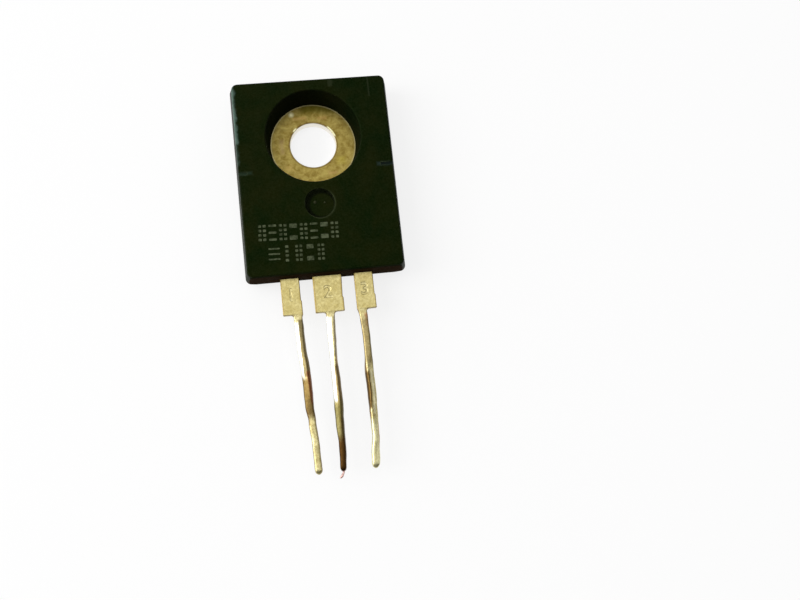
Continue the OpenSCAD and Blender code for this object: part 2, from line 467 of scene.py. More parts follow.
    def shade(self, degrees: float) -> None:
        """Shades smooth up to an angle, with wide faces kept flat.

        Args:
            degrees: Edges sharper than this stay crisp.
        """
        select_only(self.obj)
        bpy.ops.object.shade_smooth_by_angle(angle=math.radians(degrees))
        self.modify("WEIGHTED_NORMAL", keep_sharp=True)

    def dress(self, finish: bpy.types.Material) -> None:
        """Gives the whole piece one finish."""
        self.obj.data.materials.clear()
        self.obj.data.materials.append(finish)

    def settle(self, slot: Optional[str] = None, stands_for: Sequence[str] = ()) -> None:
        """Makes the piece part of the object.

        Args:
            slot: Not used.
            stands_for: The solids that it replaces.
        """
        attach(self.obj, BODY)
        if stands_for:
            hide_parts(*stands_for)
        mesh = self.obj.data
        LOG.info("%s: %d points, %d faces", self.obj.name, len(mesh.vertices), len(mesh.polygons))


def solid_copy(node: str, grow: float) -> Workpiece:
    """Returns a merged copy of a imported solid, to cut with.

    Args:
        node: Name of the solid.
        grow: How far its skin is moved out, in millimetres, so that neighbours overlap.

    Returns:
        The cutter.
    """
    source = frame["nodes"][node]
    double = bpy.data.objects.new("cutter_" + node, source.data.copy())
    bpy.context.scene.collection.objects.link(double)
    select_only(double)
    cutter = Workpiece("cutter_" + node)
    with cutter.edit():
        cutter.pick_all()
        bpy.ops.mesh.remove_doubles(threshold=MERGE)
    cutter.modify("DISPLACE", strength=grow * MM, mid_level=0.0, direction="NORMAL")
    return cutter


# Finishes

class Graph:
    """Adds nodes to one tree and joins them."""

    MIX_FACTOR, MIX_A, MIX_B, MIX_RESULT = 0, 6, 7, 2

    def __init__(self, tree: bpy.types.NodeTree) -> None:
        """Takes the tree to build in."""
        self.tree = tree

    @cached_property
    def place(self) -> Value:
        """Object coordinates in millimetres."""
        return self.scaled(self.add("ShaderNodeTexCoord").outputs["Object"], 1 / MM)

    def add(self, kind: str, inputs: Optional[Mapping] = None, **settings: Value) -> bpy.types.Node:
        """Adds a node.

        Args:
            kind: Type of the node.
            inputs: Sockets to join or plain values, by input name or number.
            settings: Settings of the node by name.

        Returns:
            The new node.
        """
        node = self.tree.nodes.new(kind)
        for name, value in settings.items():
            setattr(node, name, value)
        for name, value in (inputs or {}).items():
            if isinstance(value, bpy.types.NodeSocket):
                self.tree.links.new(value, node.inputs[name])
            else:
                node.inputs[name].default_value = value
        return node

    def math(self, operation: str, a: Value, b: Value = 0.0, clamp: bool = False) -> Value:
        """Returns the result of a Math node."""
        node = self.add("ShaderNodeMath", {0: a, 1: b}, operation=operation, use_clamp=clamp)
        return node.outputs[0]

    def times(self, a: Value, b: Value) -> Value:
        """Returns the product of two numbers."""
        return self.math("MULTIPLY", a, b)

    def less(self, a: Value, b: Value) -> Value:
        """Returns a number less another."""
        return self.math("SUBTRACT", a, b)

    def off(self, value: Value, middle: Value) -> Value:
        """Returns how far a number is from a middle."""
        return self.math("ABSOLUTE", self.less(value, middle))

    def vector(self, operation: str, a: Value, b: Value = (0.0, 0.0, 0.0)) -> Value:
        """Returns what a Vector Math node gives: a number for a length or a dot product."""
        node = self.add("ShaderNodeVectorMath", {0: a, 1: b}, operation=operation)
        return node.outputs["Value" if operation in ("LENGTH", "DOT_PRODUCT") else "Vector"]

    def scaled(self, vector: Value, scale: Value) -> Value:
        """Returns a vector times a number."""
        node = self.add("ShaderNodeVectorMath", {0: vector, "Scale": scale}, operation="SCALE")
        return node.outputs["Vector"]

    def parts(self, vector: Value) -> Sequence[Value]:
        """Returns the X, Y and Z of a vector."""
        return self.add("ShaderNodeSeparateXYZ", {0: vector}).outputs

    def noise(self, vector: Value, scale: Value, detail: float, **more: float) -> bpy.types.Node:
        """Adds a noise.

        Args:
            vector: Its coordinates.
            scale: How many clouds go into one unit.
            detail: How many finer layers it has.
            more: Its other inputs by name.

        Returns:
            The node.
        """
        return self.add("ShaderNodeTexNoise",
                        {"Vector": vector, "Scale": scale, "Detail": detail, **more})

    def span(self, value: Value, low: Value, high: Value, start: Value = 0.0,
             end: Value = 1.0) -> Value:
        """Maps a value smoothly from one range to another.

        Args:
            value: The socket to map.
            low: Value at which the result is start.
            high: Value at which the result is end.
            start: First result.
            end: Last result.

        Returns:
            The mapped value.
        """
        node = self.add(
            "ShaderNodeMapRange",
            {"Value": value, "From Min": low, "From Max": high, "To Min": start, "To Max": end},
            interpolation_type="SMOOTHSTEP",
        )
        return node.outputs["Result"]

    def blend(self, factor: Value, a: Value, b: Value) -> Value:
        """Mixes two colours.

        Args:
            factor: 0 for the first colour and 1 for the second.
            a: The first colour.
            b: The second colour.

        Returns:
            The mixed colour.
        """
        colours = [value if isinstance(value, bpy.types.NodeSocket) else (*value, 1)
                   for value in (a, b)]
        node = self.add("ShaderNodeMix", {
            self.MIX_FACTOR: factor, self.MIX_A: colours[0], self.MIX_B: colours[1],
        }, data_type="RGBA")
        return node.outputs[self.MIX_RESULT]

    def lay(self, colour: Value, tint: Value, mask: Value, share: float) -> Value:
        """Lays a tint over a colour.

        Args:
            colour: The colour below.
            tint: The colour that is laid over it.
            mask: Where it is laid, from 0 to 1.
            share: How much of it covers where the mask is 1.

        Returns:
            The new colour.
        """
        return self.blend(self.times(mask, share), colour, tint)

    def group(self, tree: bpy.types.NodeTree, inputs: Mapping) -> bpy.types.Node:
        """Adds a group node.

        Args:
            tree: The group.
            inputs: Its own values, by input name.

        Returns:
            The new node.
        """
        values = {name: (*value, 1) if isinstance(value, tuple) and "Colour" in name else value
                  for name, value in inputs.items()}
        return self.add("ShaderNodeGroup", values, node_tree=tree)


class Effects:
    """Node groups that several finishes share, each made once."""

    SOCKETS = {
        **dict.fromkeys(("Vector", "Stretch", "Middle", "Low", "High"), "NodeSocketVector"),
        **dict.fromkeys(("Colour A", "Colour B", "Colour"), "NodeSocketColor"),
    }
    EDGE_LEVELS = (0.995, 0.8)
    RUBBED_CLOUDS = (0.35, 0.65)
    RAGGED_SCALE = 2.4

    def name_sockets(self, graph: Graph, way: str, names: Sequence[str]) -> None:
        """Gives a group its named sockets.

        Args:
            graph: The graph of the group.
            way: INPUT or OUTPUT.
            names: Names of the sockets.
        """
        for name in names:
            kind = self.SOCKETS.get(name, "NodeSocketFloat")
            graph.tree.interface.new_socket(name=name, in_out=way, socket_type=kind)

    def opened(self, name: str, inputs: Sequence[str]) -> tuple[Graph, Mapping[str, Value]]:
        """Starts a group.

        Args:
            name: Name of the group.
            inputs: Names of its inputs.

        Returns:
            Its graph, and the sockets of its inputs by name.
        """
        graph = Graph(bpy.data.node_groups.new(name, "ShaderNodeTree"))
        self.name_sockets(graph, "INPUT", inputs)
        return graph, graph.add("NodeGroupInput").outputs

    def closed(self, graph: Graph, results: Mapping[str, Value]) -> bpy.types.NodeTree:
        """Ends a group.

        Args:
            graph: The graph of the group.
            results: What it puts out, by the name of the output.

        Returns:
            The finished group.
        """
        self.name_sockets(graph, "OUTPUT", list(results))
        graph.add("NodeGroupOutput", results)
        return graph.tree

    @cached_property
    def mottle(self) -> bpy.types.NodeTree:
        """Cloudy tone between two colours.

        Returns:
            The group.
        """
        g, given = self.opened(
            "mottled_tone", ["Vector", "Size", "Contrast", "Colour A", "Colour B"]
        )
        scale = g.math("DIVIDE", 1.0, given["Size"])
        noise = g.noise(given["Vector"], scale, 5.0, Roughness=0.62, Distortion=0.4)
        wide = g.times(g.less(noise.outputs["Fac"], 0.5), given["Contrast"])
        mask = g.math("ADD", wide, 0.5, clamp=True)
        colour = g.blend(mask, given["Colour A"], given["Colour B"])
        return self.closed(g, {"Colour": colour, "Mask": mask})

    @cached_property
    def grain(self) -> bpy.types.NodeTree:
        """Fine surface relief.

        Returns:
            The group.
        """
        g, given = self.opened("fine_grain", ["Vector", "Stretch", "Size", "Pits"])
        drawn = g.vector("MULTIPLY", given["Vector"], given["Stretch"])
        scale = g.math("DIVIDE", 1.0, given["Size"])
        noise = g.noise(drawn, scale, 3.0, Roughness=0.7)
        cells = g.add("ShaderNodeTexVoronoi", {"Vector": drawn, "Scale": g.times(scale, 0.7)})
        pits = g.times(g.span(cells.outputs["Distance"], 0.0, 0.5), given["Pits"])
        return self.closed(g, {"Height": g.math("ADD", noise.outputs["Fac"], pits)})

    @cached_property
    def wear(self) -> bpy.types.NodeTree:
        """Finds edges that wear makes paler.

        Returns:
            The group.
        """
        g, given = self.opened("edge_wear", ["Vector", "Radius", "Patchy"])
        soft = g.add("ShaderNodeBevel", {"Radius": given["Radius"]}, samples=6)
        plain = g.add("ShaderNodeNewGeometry")
        level = g.vector("DOT_PRODUCT", soft.outputs["Normal"], plain.outputs["Normal"])
        noise = g.noise(given["Vector"], g.math("DIVIDE", 1.0, given["Patchy"]), 4.0)
        rubbed = g.span(noise.outputs["Fac"], *self.RUBBED_CLOUDS)
        return self.closed(g, {"Mask": g.times(g.span(level, *self.EDGE_LEVELS), rubbed)})

    @cached_property
    def zone(self) -> bpy.types.NodeTree:
        """Finds what lies within a circle about an upright axis.

        Returns:
            The group.
        """
        g, given = self.opened("round_zone", ["Vector", "Middle", "Radius", "Soft"])
        away = g.vector("SUBTRACT", given["Vector"], given["Middle"])
        reach = g.vector("LENGTH", g.vector("MULTIPLY", away, (1.0, 1.0, 0.0)))
        inside = g.span(g.less(given["Radius"], reach), 0.0, given["Soft"])
        return self.closed(g, {"Reach": reach, "Inside": inside})

    @cached_property
    def patch(self) -> bpy.types.NodeTree:
        """Finds one soft patch with a ragged edge between two corners.

        Returns:
            The group.
        """
        g, given = self.opened("soft_patch", ["Vector", "Low", "High", "Soft", "Ragged"])
        noise = g.noise(given["Vector"], self.RAGGED_SCALE, 4.0)
        waves = g.vector("SUBTRACT", noise.outputs["Color"], (0.5, 0.5, 0.5))
        place = g.vector("ADD", given["Vector"], g.scaled(waves, given["Ragged"]))
        above = g.vector("SUBTRACT", place, given["Low"])
        below = g.vector("SUBTRACT", given["High"], place)
        x, y, z = g.parts(g.vector("MINIMUM", above, below))
        inside = g.math("MINIMUM", g.math("MINIMUM", x, y), z)
        return self.closed(g, {"Mask": g.span(inside, 0.0, given["Soft"])})


EFFECTS = Effects()


@dataclass(frozen=True)
class Patch:
    """A soft patch of colour between two corners, in millimetres of the material's own map; stains,
    painted highlights and painted shade are all such patches.
    """

    low: Pair
    high: Pair
    colour: Colour
    strength: float
    soft: float
    ragged: float
    levels: Pair = (-99.0, 99.0)

    def over(self, graph: Graph, vector: Value, colour: Value) -> Value:
        """Lays the patch over a colour.

        Args:
            graph: The material's graph.
            vector: Coordinates in millimetres.
            colour: The colour below.

        Returns:
            The colour with the patch.
        """
        bottom, top = self.levels
        found = graph.group(EFFECTS.patch, {
            "Vector": vector, "Low": (*self.low, bottom), "High": (*self.high, top),
            "Soft": self.soft, "Ragged": self.ragged,
        })
        return graph.lay(colour, self.colour, found.outputs["Mask"], self.strength)


@dataclass(frozen=True)
class Finish:
    """What every finish of the part has."""

    name: str
    base_a: Colour
    base_b: Colour
    tone_mm: float = 1.0
    contrast: float = 2.5
    rough_low: float = 0.4
    rough_high: float = 0.55
    rough_size: float = 0.3
    rough_contrast: float = 2.0
    grain_mm: float = 0.08
    grain_stretch: Point = (1.0, 1.0, 1.0)
    grain_depth: float = 0.004
    grain_pits: float = 0.4
    metal: float = 0.0
    specular: float = 0.5
    tint: Colour = (1.0, 1.0, 1.0)
    patches: tuple[Patch, ...] = ()

    def start(self) -> tuple[bpy.types.Material, Graph]:
        """Starts the material.

        Returns:
            The empty material and its graph.
        """
        material = bpy.data.materials.new(self.name)
        material.use_nodes = True
        material.node_tree.nodes.clear()
        return material, Graph(material.node_tree)

    def clouds(self, graph: Graph, size: float, contrast: float) -> bpy.types.Node:
        """Makes a cloudy tone between the two base colours.

        Args:
            graph: The material's graph.
            size: Size of a cloud.
            contrast: How sharply the clouds stand apart.

        Returns:
            The node of the tone.
        """
        return graph.group(EFFECTS.mottle, {
            "Vector": graph.place, "Size": size, "Contrast": contrast,
            "Colour A": self.base_a, "Colour B": self.base_b,
        })

    def spot(self, graph: Graph, at: Pair, radius: float, soft: float) -> bpy.types.Node:
        """Finds one round spot.

        Args:
            graph: The material's graph.
            at: X and Y of its middle.
            radius: Its radius.
            soft: Width of its soft edge.

        Returns:
            The node of the spot.
        """
        return graph.group(EFFECTS.zone, {
            "Vector": graph.place, "Middle": (*at, 0.0), "Radius": radius, "Soft": soft,
        })

    def relief(self, graph: Graph) -> Value:
        """Makes the fine surface relief.

        Args:
            graph: The material's graph.

        Returns:
            Its normal.
        """
        node = graph.group(EFFECTS.grain, {
            "Vector": graph.place, "Stretch": self.grain_stretch, "Size": self.grain_mm,
            "Pits": self.grain_pits,
        })
        bump = graph.add("ShaderNodeBump", {
            "Height": node.outputs["Height"], "Strength": 1.0,
            "Distance": self.grain_depth * MM,
        })
        return bump.outputs["Normal"]

    def with_stains_and_light(self, graph: Graph, vector: Value, colour: Value) -> Value:
        """Lays the finish's stains and painted light and shade over a colour.

        Args:
            graph: The material's graph.
            vector: Coordinates in millimetres.
            colour: The colour below.

        Returns:
            The colour with them.
        """
        for patch in self.patches:
            colour = patch.over(graph, vector, colour)
        return colour

    def colour(self, graph: Graph) -> Value:
        """Returns the finished colour, with stains and painted light and shade included."""
        tone = self.clouds(graph, self.tone_mm, self.contrast).outputs["Colour"]
        return self.with_stains_and_light(graph, graph.place, tone)

    def roughness(self, graph: Graph) -> Value:
        """Returns the roughness, which changes in small clouds."""
        fine = self.clouds(graph, self.tone_mm * self.rough_size, self.rough_contrast)
        return graph.span(fine.outputs["Mask"], 0.0, 1.0, self.rough_low, self.rough_high)

    def material(self) -> bpy.types.Material:
        """Builds the whole material.

        Returns:
            The material, with colour, roughness and relief that change over the surface.
        """
        material, graph = self.start()
        shader = graph.add("ShaderNodeBsdfPrincipled", {
            "Base Color": self.colour(graph), "Roughness": self.roughness(graph),
            "Metallic": self.metal, "Specular IOR Level": self.specular,
            "Specular Tint": (*self.tint, 1), "Normal": self.relief(graph),
        })
        graph.add("ShaderNodeOutputMaterial", {"Surface": shader.outputs[0]})
        return material


@dataclass(frozen=True)
class PlasticFinish(Finish):
    """Matt compound, specked with filler, paler along edges from wear, with painted light and shade
    on its ejector mark and end face.
    """

    # Paler tone for wear on edges, specks and the parting line, and for the painted highlight on
    # the ejector mark's rim
    worn_and_highlight: Colour = (0.045, 0.055, 0.026)
    wear_mm: float = 0.16
    wear_patch: float = 0.8
    speck_mm: float = 0.09
    speck_contrast: float = 5.0
    speck_share: float = 0.12
    mark_at: Pair = (0.0, 0.0)
    mark_r: float = 1.0
    mark_soft: float = 0.05
    rim_w: Pair = (0.14, 0.02)
    rim_slope: float = 0.6
    rim_side: Pair = (-0.2, 1.1)
    rim_share: float = 0.3
    shade_off: Pair = (0.16, -0.14)
    shade_r: float = 1.04
    shade_soft: float = 0.2
    # Painted shade in the ejector mark's upper left crescent
    crescent_shade: Colour = (0.0, 0.0, 0.0)
    pocket_r: float = 3.92
    pocket_soft: float = 0.08
    end_y: float = -11.12
    end_soft: float = 0.06
    # Brown-black painted shade on the end face that the leads come out of, which faces away from
    # the lamps
    end_shade: Colour = (0.022, 0.008, 0.003)
    end_shade_share: float = 0.8
    parting_z: float = 1.75
    parting_w: Pair = (0.04, 0.04 / 3)
    parting_share: float = 0.5

    def mark(self, graph: Graph) -> bpy.types.Node:
        """Returns the zone node of the ejector mark."""
        return self.spot(graph, self.mark_at, self.mark_r, self.mark_soft)

    def lit_rim_highlight(self, graph: Graph) -> Value:
        """Finds the ejector mark's rim on its right side, where a painted highlight stands for the
        wall that the lamp lights.

        Args:
            graph: The material's graph.

        Returns:
            The mask.
        """
        off_rim = graph.off(self.mark(graph).outputs["Reach"], self.mark_r)
        x, y, _ = graph.parts(graph.place)
        ahead = graph.times(graph.less(y, self.mark_at[1]), self.rim_slope)
        side = graph.span(graph.less(x, ahead), *self.rim_side)
        return graph.times(side, graph.span(off_rim, *self.rim_w))

    def shaded_crescent(self, graph: Graph) -> Value:
        """Finds the painted shade: a dark crescent at the upper left of the ejector mark's floor,
        which the mark's wall shades.

        Args:
            graph: The material's graph.

        Returns:
            The mask.
        """
        lit_at = tuple(at + off for at, off in zip(self.mark_at, self.shade_off))
        lit = self.spot(graph, lit_at, self.shade_r, self.shade_soft)
        dark = graph.less(1.0, lit.outputs["Inside"])
        return graph.times(self.mark(graph).outputs["Inside"], dark)

    def end_face(self, graph: Graph) -> Value:
        """Returns the mask of the face that the leads come out of."""
        _, y, _ = graph.parts(graph.place)
        return graph.span(y, self.end_y + self.end_soft, self.end_y)

    def parting_line(self, graph: Graph) -> Value:
        """Finds the fine line where the halves of the mould met.

        Args:
            graph: The material's graph.

        Returns:
            The mask.
        """
        _, _, z = graph.parts(graph.place)
        line = graph.span(graph.off(z, self.parting_z), *self.parting_w)
        pocket = self.spot(graph, (0.0, 0.0), self.pocket_r, self.pocket_soft)
        return graph.times(graph.less(1.0, pocket.outputs["Inside"]), line)

    def worn_edges(self, graph: Graph) -> Value:
        """Finds the edges that wear makes paler.

        Args:
            graph: The material's graph.

        Returns:
            The mask.
        """
        wear = graph.group(EFFECTS.wear, {
            "Vector": graph.place, "Radius": self.wear_mm * MM, "Patchy": self.wear_patch,
        })
        return wear.outputs["Mask"]

    def roughness(self, graph: Graph) -> Value:
        """Returns the roughness, which is full in the painted shade crescent of the ejector mark.
        """
        plain = super().roughness(graph)
        return graph.span(self.shaded_crescent(graph), 0.0, 1.0, plain, 1.0)

    def colour(self, graph: Graph) -> Value:
        """Mixes the mottled compound with filler specks, stains, edges paler from wear, and painted
        highlight and shade.

        Args:
            graph: The material's graph.

        Returns:
            The colour.
        """
        colour = super().colour(graph)
        specks = self.clouds(graph, self.speck_mm, self.speck_contrast)
        # The rim is a painted highlight, and the crescent and the end face are painted shade; the
        # parting line, specks and edges show wear
        for tint, mask, share in (
            (self.worn_and_highlight, self.lit_rim_highlight(graph), self.rim_share),
            (self.crescent_shade, self.shaded_crescent(graph), 1.0),
            (self.end_shade, self.end_face(graph), self.end_shade_share),
            (self.worn_and_highlight, self.parting_line(graph), self.parting_share),
            (self.worn_and_highlight, specks.outputs["Mask"], self.speck_share),
            (self.worn_and_highlight, self.worn_edges(graph), 1.0),
        ):
            colour = graph.lay(colour, tint, mask, share)
        return colour


@dataclass(frozen=True)
class PunchedFinish(Finish):
    """Dull plate metal: a bright hole, brown painted shade and painted highlights on its rolled
    edge, a pale ring and a glint in the pocket.
    """

    hole_r: float = 1.92
    hole_soft: float = 0.04
    punched: Colour = (0.95, 0.91, 0.82)
    hole_edge_shade_r: float = 1.98
    # Brown painted shade on the rolled edge of the hole
    hole_edge_shade: Colour = (0.12, 0.065, 0.025)
    foot_r: float = 3.44
    rubbed: Colour = (0.6, 0.55, 0.3)
    ring_w: Pair = (0.08, 0.02)
    ring_share: float = 0.45
    glint_at: Pair = (-1.58, 2.73)
    glint_r: float = 0.34
    glint_soft: float = 0.42
    glint: Colour = (0.98, 0.95, 0.58)
    edge_lights: tuple[Point, ...] = ((1.62, 1.1, 0.62), (-1.4, 1.4, 0.28))
    edge_soft: float = 0.2

    def colour(self, graph: Graph) -> Value:
        """Mixes the plate and its stains with the marks round its hole, painted shade and
        highlights among them, and the pocket's foot.

        Args:
            graph: The material's graph.

        Returns:
            The colour.
        """
        colour = super().colour(graph)
        hole = self.spot(graph, (0.0, 0.0), self.hole_r, self.hole_soft)
        foot, hole_edge_shade = (graph.span(graph.off(hole.outputs["Reach"], radius), *self.ring_w)
                      for radius in (self.foot_r, self.hole_edge_shade_r))
        glint = self.spot(graph, self.glint_at, self.glint_r, self.glint_soft)
        colour = graph.blend(glint.outputs["Inside"], colour, self.glint)
        colour = graph.lay(colour, self.rubbed, foot, self.ring_share)
        colour = graph.lay(colour, self.hole_edge_shade, hole_edge_shade, self.ring_share)
        for x, y, radius in self.edge_lights:
            light = self.spot(graph, (x, y), radius, self.edge_soft)
            colour = graph.blend(graph.times(light.outputs["Inside"], hole_edge_shade), colour, self.glint)
        return graph.blend(hole.outputs["Inside"], colour, self.punched)


@dataclass(frozen=True)
class LeadFinish(Finish):
    """Plated strip with sheared brown edges, tarnish, and stains and painted light and shade that
    follow the lead.
    """

    sheared: Colour = (0.2, 0.1, 0.03)
    sheared_from: float = 0.82
    sheared_soft: float = 0.14
    sheared_share: float = 0.8
    tarnish: Colour = (0.24, 0.18, 0.055)
    tarnish_mm: float = 0.2
    tarnish_contrast: float = 6.0
    tarnish_share: float = 0.45

    def colour(self, graph: Graph) -> Value:
        """Mixes plating with tarnish in blotches, bare sides, and the lead's own stains and painted
        light and shade.

        Args:
            graph: The material's graph.

        Returns:
            The colour.
        """
        colour = self.clouds(graph, self.tone_mm, self.contrast).outputs["Colour"]
        blotch = self.clouds(graph, self.tarnish_mm, self.tarnish_contrast)
        colour = graph.lay(colour, self.tarnish, blotch.outputs["Mask"], self.tarnish_share)
        strip = graph.add("ShaderNodeUVMap", uv_map=StripMap.NAME).outputs["UV"]
        across, _, _ = graph.parts(strip)
        bare = graph.span(
            graph.off(across, 0.0), self.sheared_from, self.sheared_from + self.sheared_soft
        )
        colour = graph.lay(colour, self.sheared, bare, self.sheared_share)
        return self.with_stains_and_light(graph, strip, colour)


# Sub-assemblies

@dataclass
class MouldedHousing:
    """The moulded body: draft, soft edges, pocket, marks and the room for what it holds."""

    finish: PlasticFinish
    shade_finish: PlasticFinish
    glint_dots_finish: PlasticFinish
    plate: "SpreaderPlate"
    width: float = 12.7
    low_y: float = -11.3
    high_y: float = 4.9
    thickness: float = FRONT_Z
    parting: float = 1.75
    draft: float = 9.0
    corner: float = 0.45
    front_edge: float = 0.13
    back_edge: float = 0.06
    pocket_floor: float = 0.84
    pocket_r: float = 3.48
    pocket_taper: float = 7.5
    pocket_sides: int = 96
    rim: float = 0.11
    rim_angles: tuple[float, ...] = (22, 45, 66, 88)
    mark_y: float = -5.58
    mark_r: float = 1.18
    mark_depth: float = 0.15
    mark_foot: tuple[Pair, ...] = ((0.0, -0.05), (0.02, -0.015), (0.06, 0.0))
    mark_flare: float = 0.03
    mark_lip: float = 0.001
    mark_sides: int = 64
    nick_y: float = -2.75
    nick_w: float = 0.24
    nick_depth: float = 0.08
    nick_round: float = 0.07
    nicks: tuple[tuple[int, float], ...] = ((-1, 0.65), (1, 1.0))
    dots: tuple[Point, ...] = ((-0.38, -5.46, 0.12), (0.38, -5.53, 0.08))
    dot_rise: float = 0.6
    dot_root: float = 0.02
    end_depth: float = 0.4
    wall_lean: float = 0.5
    sealed: tuple[str, ...] = (
        "input_lead", "ground_lead", "output_lead", "ground_solder", "die_solder",
        "regulator_die", "input_wire", "ground_wire", "output_wire",
    )
    room: float = 0.003

    def blank(self) -> Workpiece:
        """Models the drafted block with soft corners and edges.

        Returns:
            The block.
        """
        half = self.width / 2
        body = Workpiece.block(
            "housing_moulding", (-half, self.low_y, 0), (half, self.high_y, self.thickness)
        )
        length = self.high_y - self.low_y
        middle = (self.low_y + self.high_y) / 2
        above = self.thickness - self.parting
        with body.edit():
            body.cut_level(self.parting)
            for height, rise in ((self.thickness, above), (0, self.parting)):
                inset = 2 * rise * slope(self.draft)
                body.pick(Pick.FACES, lambda at, way: abs(at.z - height) < NEAR)
                body.resize(
                    (1 - inset / self.width, 1 - inset / length, 1), (0, middle, height)
                )
            body.pick(Pick.EDGES, lambda at, way: abs(way.z) > FACING)
            body.bevel(self.corner, segments=6)
            body.round_rim(self.thickness, self.front_edge, segments=4)
            body.round_rim(0, self.back_edge, segments=2)
            body.face_outwards()
        return body

    def pocket_cutter(self) -> Workpiece:
        """Models the tapered pocket with a rounded rim.

        Returns:
            The cutter.
        """
        edge_z = self.thickness - self.rim
        edge_r = self.pocket_r + (edge_z - self.pocket_floor) * slope(self.pocket_taper)
        return Workpiece.turned("pocket_cutter", (0, 0), [
            (self.pocket_floor - PAST, self.pocket_r), (self.pocket_floor, self.pocket_r),
            (edge_z, edge_r), *rolled(edge_z, edge_r, self.rim, self.rim_angles),
            (self.thickness + PAST, edge_r + self.rim),
        ], self.pocket_sides)

    def mark_cutter(self) -> Workpiece:
        """Models the shallow round mark of an ejector pin.

        Returns:
            The cutter.
        """
        floor = self.thickness - self.mark_depth
        flared = self.mark_r + self.mark_flare
        return Workpiece.turned("mark_cutter", (0, self.mark_y), [
            *((floor + rise, self.mark_r + aside) for rise, aside in self.mark_foot),
            (self.thickness - self.mark_flare, self.mark_r),
            (self.thickness + self.mark_lip, flared), (self.thickness + PAST, flared),
        ], self.mark_sides)

    def nick_cutter(self, side: int, length: float) -> Workpiece:
        """Models one shallow groove that runs in from a side.

        Args:
            side: Which side, -1 or 1.
            length: How far it runs over the front.

        Returns:
            The cutter.
        """
        half = self.width / 2
        edge = half - (self.thickness - self.parting) * slope(self.draft)
        left, right = sorted((side * (edge - length), side * (half + PAST)))
        cutter = Workpiece.block(
            "nick_cutter",
            (left, self.nick_y - self.nick_w / 2, self.thickness - self.nick_depth),
            (right, self.nick_y + self.nick_w / 2, self.thickness + PAST),
        )
        with cutter.edit():
            cutter.pick(
                Pick.EDGES, lambda at, way: abs(way.x) > FACING and at.z < self.thickness
            )
            cutter.bevel(self.nick_round, segments=4)
        return cutter

    def ejector_dots(self) -> Workpiece:
        """Models the two small raised dots in the ejector mark.

        Returns:
            The joined dots.
        """
        floor = self.thickness - self.mark_depth
        dots = []
        for x, y, radius in self.dots:
            dot = Workpiece.ball("ejector_mark_dots", (x, y, floor), radius)
            with dot.edit():
                dot.pick_all()
                dot.resize((1, 1, self.dot_rise), (x, y, floor))
                dot.cut_level(floor - self.dot_root, drop=True)
            dots.append(dot)
        dots[0].join(dots[1:])
        return dots[0]

    def shade_dull_faces(self, body: Workpiece) -> None:
        """Dresses the pocket's wall and the end face in the dull finish, a copy of the compound
        with little sheen that paints shade on them.

        Args:
            body: The finished body, already dressed in its own finish.
        """
        reach = self.pocket_r + self.rim + self.thickness * slope(self.pocket_taper)
        end = self.low_y + self.end_depth
        body.obj.data.materials.append(self.shade_finish.material())
        with body.edit():
            body.pick(Pick.FACES, lambda at, way: way.y < -FACING and at.y < end or (
                math.hypot(at.x, at.y) < reach and abs(way.z) < self.wall_lean
            ))
            body.obj.active_material_index = 1
            bpy.ops.object.material_slot_assign()

    def build(self) -> None:
        """Models the body, cuts it and dresses it."""
        body = self.blank()
        body.cut_away(self.pocket_cutter())
        body.cut_away(self.mark_cutter())
        for side, length in self.nicks:
            body.cut_away(self.nick_cutter(side, length))
        body.cut_away(self.plate.blank("plate_cutter", -PAST))
        for node in self.sealed:
            body.cut_away(solid_copy(node, self.room))
        body.clean()
        body.shade(degrees=35)
        body.dress(self.finish.material())
        self.shade_dull_faces(body)
        body.settle("moulded_plastic", ["housing"])
        dots = self.ejector_dots()
        dots.shade(degrees=50)
        dots.dress(self.glint_dots_finish.material())
        dots.settle("moulded_plastic")


